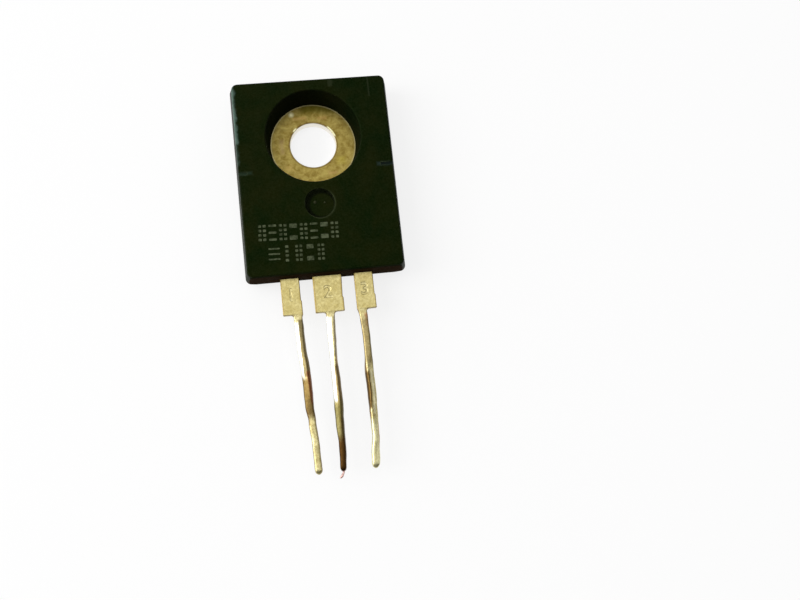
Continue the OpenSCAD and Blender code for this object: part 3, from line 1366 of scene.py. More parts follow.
@dataclass
class FacePrint:
    """Two rows of faded plain marks on the front."""

    finish: Finish
    height_z: float = FRONT_Z
    proud: float = INK_T
    depth: float = 0.008
    dash_round: float = 0.05
    tilt: float = -2.0
    cell: Pair = (0.6, 1.28)
    row_one: tuple[Mark, ...] = (
        Mark.GRID, Mark.STEPS, Mark.GRID, Mark.BLOCKS, Mark.GRID, Mark.STEPS, Mark.BLOCKS,
        Mark.GRID,
    )
    row_one_from: Pair = (-4.69, -7.62)
    row_one_pitch: float = 0.804
    row_two: tuple[tuple[Mark, float, float, float], ...] = (
        (Mark.STEPS, -3.9, 0.9, 0.95), (Mark.COLUMN, -2.92, 0.26, 1.28),
        (Mark.GRID, -2.0, 0.54, 1.28), (Mark.BLOCKS, -1.12, 0.54, 1.28),
        (Mark.GRID, -0.28, 0.54, 1.28),
    )
    row_two_at: Pair = (-2.0, -9.42)

    def master(self, mark: Mark) -> Workpiece:
        """Models one mark at the origin, in its cell.

        Args:
            mark: Which plain shape.

        Returns:
            The mark, one ink layer thick.
        """
        columns, rows, *dash = mark.value
        across, along = (
            [(k / max(count - 1, 1) - 0.5) * (side - size) for k in range(count)]
            for count, side, size in zip((columns, rows), self.cell, dash)
        )
        half_w, half_h = (size / 2 for size in dash)
        pieces = [
            Workpiece.sheet("mark_" + mark.name.lower(), (x - half_w, y - half_h, 0),
                            (x + half_w, y + half_h, 0))
            for x in across for y in along
        ]
        piece = pieces[0]
        piece.join(pieces[1:])
        with piece.edit():
            piece.pick_all()
            piece.bevel(self.dash_round, segments=3, points=True)
            piece.pick_all()
            piece.extrude(0, 0, self.depth + self.proud)
            piece.face_outwards()
        return piece

    def row(self, name: str, marks: Sequence[tuple[Mark, float, float, float, float]]
            ) -> Workpiece:
        """Copies marks into one row.

        Args:
            name: Name of the row's piece.
            marks: Shape, X, Y, width and height of each mark.

        Returns:
            The joined row.
        """
        kinds = dict.fromkeys(entry[0] for entry in marks)
        masters = {mark: self.master(mark) for mark in kinds}
        pieces = []
        for number, (mark, x, y, width, height) in enumerate(marks):
            piece = masters[mark].copy(f"{name}_{number}")
            shares = (width / self.cell[0], height / self.cell[1], 1)
            piece.place((x, y, self.height_z - self.depth), shares, self.tilt)
            pieces.append(piece)
        for master in masters.values():
            master.remove()
        pieces[0].join(pieces[1:])
        pieces[0].obj.name = name
        return pieces[0]

    def build(self) -> None:
        """Models both rows and dresses them."""
        fall = slope(self.tilt)
        x1, y1 = self.row_one_from
        x2, y2 = self.row_two_at
        first = [
            (mark, x1 + k * self.row_one_pitch, y1 + k * self.row_one_pitch * fall, *self.cell)
            for k, mark in enumerate(self.row_one)
        ]
        second = [
            (mark, x, y2 + (x - x2) * fall, width, height)
            for mark, x, width, height in self.row_two
        ]
        material = self.finish.material()
        for name, marks in (("front_print_upper", first), ("front_print_lower", second)):
            row = self.row(name, marks)
            row.dress(material)
            row.settle()


@dataclass
class SpreaderPlate:
    """The punched metal plate, with a ledge that the plastic grips and a hole with rolled edges."""

    finish: Finish
    half_w: float = 5.1
    low_y: float = -9.6
    high_y: float = 3.8
    thickness: float = 0.84
    ledge: float = 0.35
    ledge_z: float = 0.44
    corner: float = 0.6
    hole_r: float = 1.87
    hole_roll: float = 0.07
    roll_angles: tuple[float, ...] = (0, 30, 60, 88)
    hole_sides: int = 96
    edge: float = 0.03

    def hole_cutter(self) -> Workpiece:
        """Models the hole with a rolled upper edge and a small chamfer on its burred lower edge.

        Returns:
            The cutter.
        """
        roll_z = self.thickness - self.hole_roll
        return Workpiece.turned("hole_cutter", (0, 0), [
            (-PAST, self.hole_r + self.edge), (0.0, self.hole_r + self.edge),
            (self.edge, self.hole_r),
            *rolled(roll_z, self.hole_r, self.hole_roll, self.roll_angles),
            (self.thickness + PAST, self.hole_r + self.hole_roll),
        ], self.hole_sides)

    def blank(self, name: str, bottom: float = 0.0) -> Workpiece:
        """Returns the plate before its hole is punched.

        Args:
            name: Name of the new piece.
            bottom: Height of its bare back.

        Returns:
            The plate, or a cutter of its shape.
        """
        out = self.ledge
        plate = Workpiece.block(
            name,
            (-self.half_w - out, self.low_y - out, self.ledge_z),
            (self.half_w + out, self.high_y + out, self.thickness),
        )
        with plate.edit():
            plate.pick(Pick.EDGES, lambda at, way: abs(way.z) > FACING)
            plate.bevel(self.corner + out, segments=8)
            plate.pick(Pick.FACES, lambda at, way: way.z < -FACING)
            plate.inset(out)
            plate.extrude(0, 0, bottom - self.ledge_z)
            for height in (self.thickness, bottom):
                plate.round_rim(height, self.edge, segments=2)
            plate.face_outwards()
        return plate

    def build(self) -> None:
        """Models the plate and dresses it."""
        plate = self.blank("heat_spreader_plate")
        plate.cut_away(self.hole_cutter())
        plate.clean()
        plate.shade(degrees=35)
        plate.dress(self.finish.material())
        plate.settle("spreader_metal", ["heat_spreader"])


@dataclass(frozen=True)
class Row:
    """One line across a straight lead: its Y and the X of its two edges."""

    y: float
    low: float
    high: float

    @property
    def middle(self) -> float:
        """X of its middle."""
        return (self.low + self.high) / 2

    @property
    def width(self) -> float:
        """Its width."""
        return self.high - self.low


class Bend(NamedTuple):
    """One place along a shank, as a share of its length, and how the shank lies there."""

    along: float
    aside: float
    twist: float
    width: float


class StripMap:
    """The map of a lead that its finish reads: across as a share, and along in millimetres."""

    NAME = "strip"
    NARROWEST = 0.05

    @classmethod
    def lay(cls, piece: Workpiece, row_at: Callable[[float], Row], root_y: float) -> None:
        """Writes the map on a straight lead.

        Args:
            piece: The lead before it is bent.
            row_at: Gives the lead's row at a Y.
            root_y: Y at which along is zero.
        """
        mesh = piece.obj.data
        for old in list(mesh.uv_layers):
            mesh.uv_layers.remove(old)
        layer = mesh.uv_layers.new(name=cls.NAME)
        for corner in mesh.loops:
            x, y, _ = mesh.vertices[corner.vertex_index].co / MM
            row = row_at(y)
            across = (x - row.middle) / max(row.width / 2, cls.NARROWEST)
            layer.data[corner.index].uv = (across, root_y - y)


@dataclass
class FormedLead:
    """One lead: stamped flat with rounded edges, stepped or bent, and twisted by use."""

    name: str
    node: str
    seat: Seat
    numeral: str
    finish: LeadFinish
    bends: tuple[Bend, ...]
    pitch: float = 2.54
    low_z: float = 1.75
    strip_t: float = 0.5
    inner_y: float = -8.0
    foot_y: float = -11.3
    root_y: float = -14.1
    row_gap: float = 0.01
    shank_l: float = 12.4
    shank_w: float = 0.66
    shank_gap: float = 0.12
    shank_slack: float = 0.05
    fillet: float = 0.22
    fillet_angles: tuple[float, ...] = (84, 60, 38, 18, 0)
    shoulder_round: float = 0.05
    shank_round: float = 0.15
    round_run: float = 0.8
    sharp: float = 35.0
    tip_l: float = 0.35
    tip_share: float = 0.3
    tip_steps: int = 5
    stub_y: float = -12.95
    stub: float = 0.06
    outer_w: float = 1.55
    middle_w: float = 2.3
    lip: float = 0.08
    pad: Pair = (1.9, 1.7)
    waist: Pair = (0.9, 0.9)
    square: float = 0.03
    step_near: float = -9.6
    step_far: float = -10.4
    step_drop: float = 0.86
    step_slack: float = 0.15
    steps: int = 58
    numeral_h: float = 1.38
    numeral_flat: float = 0.42
    numeral_up: float = 0.15
    numeral_thin: float = 0.03
    numeral_round: float = 0.07
    wave_mm: float = 0.7
    wave_h: float = 0.05
    wave_from: float = 0.6
    tail: tuple[tuple[float, float, float, float], ...] = ()
    tail_root: float = 0.02
    tail_lean: float = 0.7
    rows: list[Row] = field(default_factory=list)

    @property
    def base_x(self) -> float:
        """X of the shank's middle at its root."""
        return self.seat.value * self.pitch

    @property
    def mid_z(self) -> float:
        """Height of the strip's middle."""
        return self.low_z + self.strip_t / 2

    @property
    def top_z(self) -> float:
        """Height of the strip's front."""
        return self.low_z + self.strip_t

    def bend_at(self, share: float) -> Bend:
        """Eases between the listed bends.

        Args:
            share: Share of the shank's length, from its root.

        Returns:
            The bend there.
        """
        before = self.bends[0]
        for after in self.bends[1:]:
            if share <= after.along:
                t = max(0.0, (share - before.along) / (after.along - before.along))
                return Bend(*(a + (b - a) * t * t * (3 - 2 * t) for a, b in zip(before, after)))
            before = after
        return before

    def mirrored(self, y: float, inner: float, outer: float) -> Row:
        """Returns a row of an outer lead from its inner and outer edges."""
        return Row(y, *sorted((self.seat.value * inner, self.seat.value * outer)))

    def strip_rows(self) -> list[Row]:
        """Lists the rows of the wide part, from the inner end to the shoulder's end.

        Returns:
            The rows.
        """
        below_stub = self.stub_y - 2 * self.stub
        if self.seat is Seat.MIDDLE:
            half = self.middle_w / 2
            places = (self.inner_y, self.step_near, self.step_far, self.foot_y, self.stub_y,
                      below_stub, self.root_y)
            return [Row(y, -half, half - self.stub if y == self.stub_y else half)
                    for y in places]
        inner = self.pitch - self.shank_w / 2 - self.lip
        outer = inner + self.outer_w
        middle = inner + self.outer_w / 2
        (pad_w, pad_l), (waist_w, waist_l) = self.pad, self.waist
        waist_y = self.inner_y - pad_l
        shoulder_y = waist_y - waist_l
        pad = (middle - pad_w / 2, middle + pad_w / 2)
        waist = (middle - waist_w / 2, middle + waist_w / 2)
        whole = (inner, outer)
        trimmed = (inner, outer - self.stub)
        if self.seat is Seat.LEFT:
            trimmed = (inner + self.stub, outer)
        return [self.mirrored(y, *edges) for y, edges in (
            (self.inner_y, pad), (waist_y, pad), (waist_y - self.square, waist),
            (shoulder_y, waist), (shoulder_y - self.square, trimmed), (self.stub_y, trimmed),
            (below_stub, whole), (self.root_y, whole),
        )]

    def root_rows(self) -> list[Row]:
        """Lists the rows of the fillets between shoulder and shank.

        Returns:
            The rows.
        """
        rows = []
        half = self.shank_w / 2
        for angle in self.fillet_angles:
            turn = math.radians(angle)
            flare = self.fillet * (1 - math.cos(turn))
            y = self.root_y - self.fillet * (1 - math.sin(turn)) - self.row_gap
            if self.seat is Seat.MIDDLE:
                rows.append(Row(y, -half - flare, half + flare))
            else:
                lip = self.lip * angle / 90
                rows.append(
                    self.mirrored(y, self.pitch - half - lip, self.pitch + half + flare)
                )
        return rows

    def shank_rows(self) -> list[Row]:
        """Lists the rows of the slender part before it is bent.

        Returns:
            The rows.
        """
        start, stop = self.fillet + self.shank_gap, self.shank_l - self.tip_l
        places = [start + (stop - start) * k / self.steps for k in range(self.steps + 1)]
        places += [stop + self.tip_l * math.sin(math.radians(90 / self.tip_steps * k))
                   for k in range(1, self.tip_steps + 1)]
        rows = []
        for place in places:
            half = self.shank_w / 2 * self.bend_at(place / self.shank_l).width
            rows.append(Row(self.root_y - place, self.base_x - half, self.base_x + half))
        return rows

    def stamp(self) -> Workpiece:
        """Extrudes the straight lead row by row and rounds its edges.

        Returns:
            The straight lead.
        """
        self.rows = self.strip_rows() + self.root_rows() + self.shank_rows()
        first, last = self.rows[:2]
        lead = Workpiece.block(
            self.name, (first.low, last.y, self.low_z), (first.high, first.y, self.top_z)
        )
        with lead.edit():
            lead.pick(Pick.FACES, lambda at, way: way.y < -FACING)
            for row in self.rows[2:]:
                lead.extrude(0, row.y - last.y, 0)
                lead.resize((row.width / last.width, 1, 1), (last.middle, row.y, self.mid_z))
                lead.shift(row.middle - last.middle, 0, 0)
                last = row
            bpy.ops.mesh.select_mode(type="EDGE")
            bpy.ops.mesh.select_all(action="DESELECT")
            bpy.ops.mesh.edges_select_sharp(sharpness=math.radians(self.sharp))
        self.round_edges(lead)
        return lead

    def round_edges(self, lead: Workpiece) -> None:
        """Rounds the selected edges, little on the wide part and much on the shank.

        Args:
            lead: The straight lead, with its sharp edges selected.
        """
        mesh = lead.obj.data
        weights = mesh.attributes.new("bevel_weight_edge", "FLOAT", "EDGE")
        start = self.root_y - self.fillet
        stop = self.rows[-1].y + NEAR
        for edge in mesh.edges:
            ends = [mesh.vertices[index].co.y / MM for index in edge.vertices]
            if edge.select and max(ends) > stop:
                share = min(max((start - sum(ends) / 2) / self.round_run, 0.0), 1.0)
                width = self.shoulder_round + (self.shank_round - self.shoulder_round) * share
                weights.data[edge.index].value = width / self.shank_round
        lead.modify(
            "BEVEL", width=self.shank_round * MM, segments=4, limit_method="WEIGHT",
            use_clamp_overlap=False,
        )

    def row_at(self, y: float) -> Row:
        """Finds a row between the listed ones.

        Args:
            y: The Y of the row.

        Returns:
            The row there.
        """
        before = self.rows[0]
        for after in self.rows[1:]:
            if y >= after.y:
                t = max((before.y - y) / (before.y - after.y), 0.0)
                return Row(y, before.low + (after.low - before.low) * t,
                           before.high + (after.high - before.high) * t)
            before = after
        return before

    def form(self, lead: Workpiece) -> None:
        """Rounds the tip, steps the foot down and bends and twists the shank.

        Args:
            lead: The straight lead.
        """
        shank = self.shank_rows()
        with lead.edit():
            if self.seat is Seat.MIDDLE:
                lead.pick(Pick.POINTS, lambda at, way: at.y > self.step_near - self.step_slack)
                lead.shift(0, 0, -self.step_drop)
            between = [(a.y + b.y) / 2 for a, b in zip(shank, shank[1:])]
            bounds = [shank[0].y + self.shank_slack, *between, -math.inf]
            for row, high, low in zip(shank, bounds, bounds[1:]):
                lead.pick(Pick.POINTS, lambda at, way: low < at.y <= high)
                place = self.root_y - row.y
                left = (self.shank_l - place) / self.tip_l
                centre = (self.base_x, row.y, self.mid_z)
                if left < 1:
                    share = max(self.tip_share, math.sqrt(max(0.0, 1 - (1 - left) ** 2)))
                    lead.resize((share, 1, share), centre)
                bend = self.bend_at(place / self.shank_l)
                lead.turn_y(bend.twist, centre)
                lead.shift(self.shank_w * bend.aside, 0, 0)

    def wavy(self, lead: Workpiece) -> None:
        """Gives the shank the small waves of soft metal, from handling.

        Args:
            lead: The formed lead.
        """
        group = lead.obj.vertex_groups.new(name="shank")
        start = self.root_y - self.wave_from
        points = [p.index for p in lead.obj.data.vertices if p.co.y / MM < start]
        group.add(points, 1.0, "REPLACE")
        texture = bpy.data.textures.new(self.name + "_waves", "CLOUDS")
        texture.noise_scale = self.wave_mm * MM
        lead.modify(
            "DISPLACE", texture=texture, strength=self.wave_h * MM, mid_level=0.5,
            vertex_group="shank", texture_coords="LOCAL",
        )
        lead.obj.vertex_groups.clear()

    def numeral_cutter(self) -> Workpiece:
        """Models the plain numeral that is pressed into the shoulder.

        Returns:
            The cutter.
        """
        select_only()
        bpy.ops.object.text_add()
        text = bpy.context.active_object
        text.data.body = self.numeral
        text.data.align_x, text.data.align_y = "CENTER", "CENTER"
        text.data.size = self.numeral_h * MM
        text.data.offset = -self.numeral_thin * MM
        text.data.resolution_u = 4
        text.data.bevel_depth = self.numeral_round * MM
        bpy.ops.object.convert(target="MESH")
        cutter = Workpiece("numeral_cutter")
        y = (self.foot_y + self.root_y) / 2
        at = (self.row_at(y).middle, y + self.numeral_up, self.top_z)
        cutter.place(at, (1, 1, self.numeral_flat))
        with cutter.edit():
            cutter.pick_all()
            bpy.ops.mesh.remove_doubles(threshold=FINE)
            cutter.face_outwards()
        return cutter

    def grow_tail(self, lead: Workpiece) -> None:
        """Draws the thin whisker out of the tip.

        Args:
            lead: The formed lead.
        """
        with lead.edit():
            lowest = min(p.co.y for p in bmesh.from_edit_mesh(lead.obj.data).verts) / MM
            lead.pick(Pick.FACES, lambda at, way: (
                way.y < -self.tail_lean and at.y < lowest + self.tail_root
            ))
            for x, y, z, share in self.tail:
                lead.extrude(x, y, z)
                mesh = bmesh.from_edit_mesh(lead.obj.data)
                chosen = [p.co for p in mesh.verts if p.select]
                centre = sum(chosen, Vector()) / len(chosen) / MM
                lead.resize((share, 1, share), tuple(centre))

    def build(self) -> None:
        """Models the lead and dresses it."""
        lead = self.stamp()
        StripMap.lay(lead, self.row_at, self.root_y)
        self.form(lead)
        if self.tail:
            self.grow_tail(lead)
        self.wavy(lead)
        lead.cut_away(self.numeral_cutter())
        lead.clean()
        lead.shade(degrees=40)
        lead.dress(self.finish.material())
        lead.settle("lead_metal", [self.node])


@dataclass
class SealedPieces:
    """The solids that the plastic hides: solder, die and bond wires."""

    solder: Finish
    silicon: Finish
    wire: Finish
    edge: float = 0.01

    def build(self) -> None:
        """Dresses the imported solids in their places."""
        for finish, nodes in (
            (self.solder, ("ground_solder", "die_solder")),
            (self.silicon, ("regulator_die",)),
            (self.wire, ("input_wire", "ground_wire", "output_wire")),
        ):
            material = finish.material()
            for node in nodes:
                piece = frame["nodes"][node]
                piece.material_slots[0].material = material
                if finish is not self.wire:
                    weld = piece.modifiers.new("weld", "WELD")
                    weld.merge_threshold = MERGE
                    soft = piece.modifiers.new("soft_edge", "BEVEL")
                    soft.width, soft.segments = self.edge * MM, 2
                LOG.info("%s: dressed", node)


# Studio

@dataclass(frozen=True)
class Softbox:
    """One lamp: its direction from the object, distance and size in metres, and brightness."""

    name: str
    way: Point
    distance: float
    size: Pair
    radiance: float


@dataclass
class Studio:
    """Pale floor, soft lamps and the camera at the photograph's angle."""

    floor_half: float = 2000.0
    floor_z: float = -0.004
    floor_share: float = 0.8
    floor_colour: Colour = (0.93, 0.93, 0.93)
    horizon_to_zenith: Pair = (0.45, 0.8)
    zenith: float = 0.4
    left_to_right: Pair = (-0.9, 0.6)
    left_glow: float = 1.7
    right_glow: float = 0.5
    front_to_back: Pair = (-0.8, -0.1)
    front_glow: float = 0.15
    lamps: tuple[Softbox, ...] = (
        Softbox("key_softbox", (-0.82, 0.12, 0.8), 0.25, (0.13, 0.2), 4.0),
        Softbox("fill_softbox", (0.8, -0.25, 0.7), 0.3, (0.14, 0.14), 1.0),
        Softbox("top_softbox", (0.03, 0.16, 0.98), 0.3, (0.2, 0.2), 1.2),
    )
    lens: float = 39.33
    sensor: float = 36.0
    clip: Pair = (0.001, 20.0)
    eye: Point = (-2.243, -23.683, 70.300)
    right: Point = (0.9892, -0.1097, 0.0974)
    up: Point = (0.0938, 0.9835, 0.1549)
    forward: Point = (0.1128, 0.1440, -0.9831)
    aim: Point = (0.0, -10.0, 2.0)

    def floor(self) -> None:
        """Lays the floor, which shows pale to the camera and takes the object's shadow."""
        half = self.floor_half
        plain = Workpiece.sheet(
            "floor", (-half, -half, self.floor_z), (half, half, self.floor_z)
        )
        material = bpy.data.materials.new("pale_floor")
        material.use_nodes = True
        material.node_tree.nodes.clear()
        graph = Graph(material.node_tree)
        rays = graph.add("ShaderNodeLightPath").outputs
        seen = graph.math("MAXIMUM", rays["Is Camera Ray"], rays["Is Glossy Ray"])
        seen = graph.math("MAXIMUM", seen, rays["Is Transmission Ray"])
        share = graph.times(seen, self.floor_share)
        matt = graph.add("ShaderNodeBsdfDiffuse", {"Color": (*self.floor_colour, 1)})
        light = graph.add("ShaderNodeEmission", {"Color": (1, 1, 1, 1), "Strength": 1.0})
        both = graph.add("ShaderNodeMixShader", {0: share, 1: matt.outputs[0], 2: light.outputs[0]})
        graph.add("ShaderNodeOutputMaterial", {"Surface": both.outputs[0]})
        plain.dress(material)

    def sky(self) -> None:
        """Sets a world that is bright at the left horizon, dimmer overhead and dark in front."""
        world = bpy.data.worlds.new("studio_sky")
        bpy.context.scene.world = world
        world.use_nodes = True
        world.node_tree.nodes.clear()
        graph = Graph(world.node_tree)
        way = graph.add("ShaderNodeTexCoord").outputs["Generated"]
        x, y, z = graph.parts(way)
        level = graph.span(z, *self.horizon_to_zenith, 1.0, self.zenith)
        aside = graph.span(x, *self.left_to_right, self.left_glow, self.right_glow)
        ahead = graph.span(y, *self.front_to_back, self.front_glow, 1.0)
        light = graph.times(level, graph.times(aside, ahead))
        seen = graph.add("ShaderNodeLightPath").outputs["Is Camera Ray"]
        strength = graph.span(seen, 0.0, 1.0, light, 1.0)
        sky = graph.add("ShaderNodeBackground", {"Color": (1, 1, 1, 1), "Strength": strength})
        graph.add("ShaderNodeOutputWorld", {"Surface": sky.outputs[0]})

    def hang(self, box: Softbox) -> None:
        """Hangs one softbox that faces the object.

        Args:
            box: The softbox.
        """
        width, height = box.size
        data = bpy.data.lights.new(box.name, "AREA")
        data.shape = "RECTANGLE"
        data.size, data.size_y = width, height
        data.energy = box.radiance * math.pi * width * height
        lamp = bpy.data.objects.new(box.name, data)
        bpy.context.scene.collection.objects.link(lamp)
        aim = Vector(self.aim) * MM
        lamp.location = aim + Vector(box.way).normalized() * box.distance
        lamp.rotation_euler = (aim - lamp.location).to_track_quat("-Z", "Y").to_euler()

    def camera(self) -> None:
        """Sets the camera as the photograph was taken."""
        data = bpy.data.cameras.new("photo_camera")
        data.lens = self.lens
        data.sensor_width = self.sensor
        data.clip_start, data.clip_end = self.clip
        camera = bpy.data.objects.new("photo_camera", data)
        bpy.context.scene.collection.objects.link(camera)
        axes = Matrix((self.right, self.up, [-part for part in self.forward])).transposed()
        camera.matrix_world = Matrix.Translation(Vector(self.eye) * MM) @ axes.to_4x4()
        bpy.context.scene.camera = camera

    def build(self) -> None:
        """Sets up the whole studio."""
        bpy.context.scene.view_settings.view_transform = "Standard"
        self.camera()
        self.floor()
        self.sky()
        for box in self.lamps:
            self.hang(box)


# Values of the finishes

FRONT = (3.0, 4.0)
# Heights of the painted highlight on the lit left side: its top band, then its whole band
LIT_SIDE_HIGH = (2.85, 4.2)
LIT_SIDE = (2.7, 4.2)
PLATE_TOP = (0.1, 1.6)
PLASTIC = PlasticFinish(
    name="moulding_compound", base_a=(0.0002, 0.0036, 0.0001), base_b=(0.0052, 0.0058, 0.0006),
    tone_mm=2.4, contrast=3.4, rough_low=0.46, rough_high=0.62, grain_mm=0.07,
    grain_depth=0.003, specular=0.135, tint=(0.165, 0.33, 0.025), mark_at=(0.0, -5.58), mark_r=1.2,
    patches=(
        Patch((1.45, 3.9), (2.05, 4.6), (0.02, 0.024, 0.012), 0.6, 0.2, 0.3, FRONT),
        Patch((4.68, 2.9), (4.88, 4.6), (0.018, 0.022, 0.012), 0.6, 0.08, 0.1, FRONT),
        Patch((-6.4, -3.0), (-4.9, -2.5), (0.014, 0.026, 0.018), 0.7, 0.25, 0.3, FRONT),
        Patch((4.7, -3.0), (6.4, -2.5), (0.015, 0.027, 0.029), 0.7, 0.25, 0.3, FRONT),
        # Painted highlight on the left side, which the key lamp lights: brighter at the top end,
        # dimmer towards the leads
        Patch((-6.8, -0.4), (-5.8, 4.8), (0.13, 0.2, 0.168), 0.75, 0.35, 0.4, LIT_SIDE_HIGH),
        Patch((-6.8, -2.2), (-5.85, 4.2), (0.07, 0.11, 0.095), 0.5, 0.35, 0.6, LIT_SIDE),
        Patch((-6.8, -10.6), (-6.02, -3.2), (0.03, 0.034, 0.026), 0.7, 0.35, 0.5, LIT_SIDE),
    ),
)
# A dull copy of the compound, which paints shade on the pocket's wall and the end face
SHADE_PLASTIC = replace(
    PLASTIC, name="dull_compound", specular=0.02, rough_low=0.75, rough_high=0.9, patches=(),
)
# Paler tone of the raised dots in the ejector mark, a painted glint
GLINT_DOTS = replace(
    PLASTIC, name="rubbed_dots", base_a=(0.014, 0.015, 0.008), base_b=(0.034, 0.032, 0.018),
)
INK = Finish(
    name="faded_ink", base_a=(0.02, 0.026, 0.012), base_b=(0.085, 0.098, 0.056), tone_mm=0.34,
    contrast=4.0, rough_low=0.6, rough_high=0.8, grain_mm=0.06, grain_depth=0.002, specular=0.2,
    tint=(0.6, 0.8, 0.4),
)
BRASS = PunchedFinish(
    name="spreader_metal_skin", base_a=(0.23, 0.16, 0.032), base_b=(0.43, 0.34, 0.095),
    tone_mm=0.45, contrast=3.0, rough_low=0.36, rough_high=0.52, grain_mm=0.05,
    grain_stretch=(1.0, 0.12, 1.0), grain_depth=0.002, metal=1.0,
    patches=(
        # Painted shade on the ring's upper arc, which the pocket's upper wall shades
        Patch((-1.2, 2.3), (2.6, 4.2), (0.1, 0.087, 0.004), 0.85, 0.8, 0.6, PLATE_TOP),
        Patch((0.42, -3.32), (0.66, -3.1), (0.06, 0.04, 0.015), 0.8, 0.06, 0.1, PLATE_TOP),
        Patch((-1.6, 2.1), (-0.2, 2.6), (0.5, 0.3, 0.1), 0.5, 0.3, 0.3, PLATE_TOP),
        Patch((0.4, 2.0), (1.4, 2.5), (0.46, 0.28, 0.09), 0.5, 0.3, 0.3, PLATE_TOP),
        Patch((-2.9, -0.8), (-2.2, 0.8), (0.36, 0.25, 0.12), 0.5, 0.4, 0.3, PLATE_TOP),
        Patch((-2.6, -2.2), (-1.6, -1.4), (0.52, 0.36, 0.11), 0.45, 0.4, 0.4, PLATE_TOP),
        Patch((1.6, -1.9), (2.8, -0.9), (0.5, 0.42, 0.07), 0.45, 0.6, 0.6, PLATE_TOP),
        Patch((0.9, -2.7), (1.9, -2.2), (0.56, 0.36, 0.14), 0.4, 0.3, 0.4, PLATE_TOP),
    ),
)
SHOULDER_TARNISH = Patch((-2, -3.4), (2, 0.15), (0.44, 0.36, 0.12), 0.5, 0.3, 0.3)


def lead_finish(name: str, patches: tuple[Patch, ...]) -> LeadFinish:
    """Plates one lead with its own stains and painted light and shade.

    Args:
        name: Name of the finish.
        patches: The lead's stains and painted light and shade, across as a share and along in
            millimetres.

    Returns:
        The finish.
    """
    return LeadFinish(
        name=name, base_a=(0.5, 0.42, 0.18), base_b=(0.78, 0.71, 0.39), tone_mm=0.7,
        contrast=2.2, rough_low=0.26, rough_high=0.42, grain_mm=0.05,
        grain_stretch=(1.0, 0.2, 1.0), grain_depth=0.003, metal=1.0,
        patches=(SHOULDER_TARNISH, *patches),
    )


LEFT_FINISH = lead_finish("left_plating", (
    # Painted highlight: the white left half of the shank, which the key lamp lights
    Patch((-2, 0.5), (0.1, 5.2), (0.96, 0.95, 0.86), 0.7, 0.2, 0.2),
    # Painted shade on the right half of the shank, turned away from the key lamp
    Patch((-0.1, 0.3), (2, 5.0), (0.13, 0.1, 0.042), 0.9, 0.2, 0.3),
    Patch((-2, 4.6), (2, 8.4), (0.11, 0.066, 0.017), 0.92, 0.7, 0.5),
    Patch((0.45, 4.3), (2, 7.2), (0.16, 0.05, 0.02), 0.7, 0.3, 0.3),
    Patch((-2, 7.2), (-0.3, 8.8), (0.09, 0.05, 0.02), 0.7, 0.3, 0.3),
))
MIDDLE_FINISH = lead_finish("middle_plating", (
    # Painted highlight: the white left half of the shank, which the key lamp lights
    Patch((-2, 0.3), (0.4, 7.2), (0.96, 0.95, 0.88), 0.7, 0.2, 0.2),
    # The next two patches are painted shade on the right half of the shank, turned away from the
    # key lamp
    Patch((0.45, 0.3), (2, 3.6), (0.3, 0.27, 0.17), 0.65, 0.25, 0.2),
    Patch((0.0, 4.0), (2, 8.8), (0.13, 0.09, 0.035), 0.88, 0.3, 0.3),
    Patch((-2, 6.3), (2, 12), (0.09, 0.075, 0.022), 0.9, 1.4, 0.5),
    Patch((0.1, 8.0), (2, 14), (0.06, 0.04, 0.01), 0.8, 0.6, 0.6),
    Patch((-2, 9.3), (2, 14), (0.05, 0.024, 0.006), 1.0, 0.9, 0.9),
    Patch((-2, 12.28), (2, 14), (0.6, 0.4, 0.36), 0.95, 0.08, 0.02),
))
RIGHT_FINISH = lead_finish("right_plating", (
    Patch((0.1, 0.2), (2, 1.6), (0.35, 0.13, 0.06), 0.7, 0.3, 0.3),
    Patch((-2, 0.4), (2, 4.6), (0.24, 0.18, 0.075), 0.75, 0.6, 0.4),
    Patch((0.5, 2.0), (2, 5.0), (0.16, 0.14, 0.08), 0.7, 0.3, 0.3),
    Patch((-2, 4.8), (-0.3, 8.0), (0.11, 0.062, 0.016), 0.94, 0.3, 0.35),
    Patch((-0.25, 4.8), (0.45, 8.4), (0.92, 0.87, 0.62), 0.5, 0.2, 0.4),
    Patch((-2, 8.4), (2, 12.8), (0.92, 0.88, 0.52), 0.6, 0.8, 0.6),
    Patch((0.5, 8.8), (2, 10.9), (0.3, 0.14, 0.05), 0.6, 0.3, 0.5),
    Patch((-0.5, 10.4), (0.4, 12.0), (0.16, 0.13, 0.04), 0.5, 0.3, 0.8),
))
SOLDER = Finish(
    name="soft_solder", base_a=(0.3, 0.31, 0.33), base_b=(0.5, 0.51, 0.53), tone_mm=0.3,
    rough_low=0.3, rough_high=0.5, grain_mm=0.1, grain_depth=0.004, metal=1.0,
)
SILICON = Finish(
    name="silicon_die", base_a=(0.05, 0.06, 0.09), base_b=(0.1, 0.12, 0.16), tone_mm=0.4,
    rough_low=0.12, rough_high=0.25, grain_mm=0.05, grain_depth=0.001, metal=0.6,
)
WIRE = Finish(
    name="bond_wire_metal", base_a=(0.7, 0.7, 0.72), base_b=(0.84, 0.84, 0.86), tone_mm=0.3,
    rough_low=0.2, rough_high=0.34, grain_mm=0.04, grain_depth=0.001, metal=1.0,
)

# Values of the leads: along as a share, aside in widths, twist in degrees, width as a share

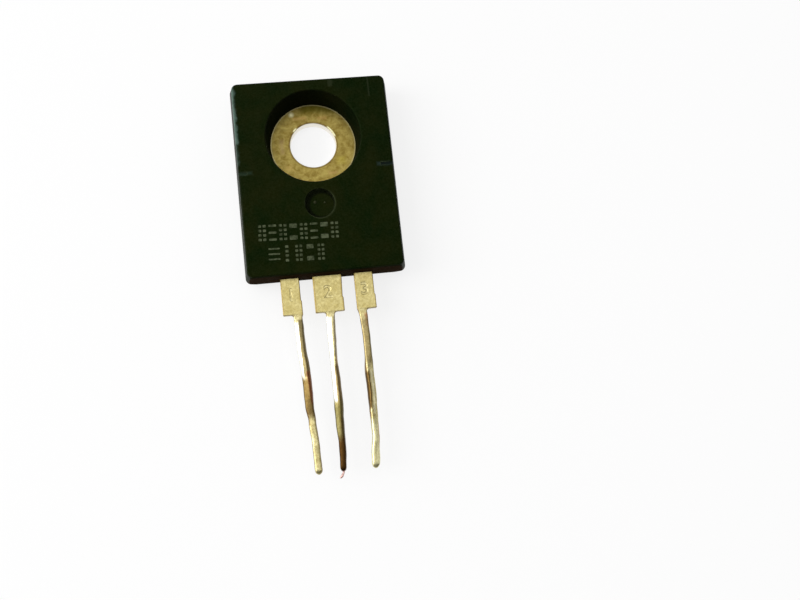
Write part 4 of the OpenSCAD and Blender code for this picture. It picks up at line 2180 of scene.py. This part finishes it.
LEFT_BENDS = tuple(Bend(*place) for place in (
    (0, 0, 0, 1), (0.1, 0.03, 10, 1), (0.21, 0.08, 18, 1), (0.36, 0.3, 36, 1.05),
    (0.47, 0.36, 24, 1), (0.58, 0.36, 10, 0.98), (0.68, 0.52, 6, 0.88),
    (0.82, 0.68, 4, 0.86), (1, 0.73, 4, 0.86),
))
MIDDLE_BENDS = tuple(Bend(*place) for place in (
    (0, 0, 0, 1), (0.08, -0.05, 10, 1), (0.16, -0.1, 14, 0.95), (0.31, -0.14, 20, 0.8),
    (0.44, -0.08, 26, 0.92), (0.58, -0.08, 30, 1), (0.69, -0.15, 22, 0.92),
    (0.84, -0.12, 14, 0.78), (1, -0.26, 10, 0.7),
))
RIGHT_BENDS = tuple(Bend(*place) for place in (
    (0, 0, 0, 1), (0.06, 0.09, 2, 0.95), (0.18, 0.15, 4, 0.9), (0.27, 0.15, 2, 0.9),
    (0.41, 0.05, -26, 0.98), (0.53, 0.09, -30, 0.98), (0.65, 0.05, -14, 0.88),
    (0.79, 0.03, -8, 0.82), (0.92, -0.21, -2, 0.96), (1, -0.33, 0, 0.9),
))
TORN_TAIL = (
    (-0.04, -0.1, 0, 1.2), (-0.08, -0.14, 0, 1.25), (-0.1, -0.14, 0, 1.1), (-0.06, -0.08, 0, 0.65),
)


def main() -> None:
    """Builds every sub-assembly in order, then the studio."""
    logging.basicConfig(level=logging.INFO, format="%(name)s: %(message)s")
    plate = SpreaderPlate(BRASS)
    assemblies = [
        MouldedHousing(PLASTIC, SHADE_PLASTIC, GLINT_DOTS, plate),
        FacePrint(INK),
        plate,
        FormedLead("input_lead_formed", "input_lead", Seat.LEFT, "1", LEFT_FINISH, LEFT_BENDS),
        FormedLead("ground_lead_formed", "ground_lead", Seat.MIDDLE, "2", MIDDLE_FINISH,
                   MIDDLE_BENDS, tail=TORN_TAIL),
        FormedLead("output_lead_formed", "output_lead", Seat.RIGHT, "3", RIGHT_FINISH,
                   RIGHT_BENDS),
        SealedPieces(SOLDER, SILICON, WIRE),
        Studio(),
    ]
    for assembly in assemblies:
        assembly.build()
        LOG.info("%s is built", type(assembly).__name__)


if __name__ == "__main__":
    main()
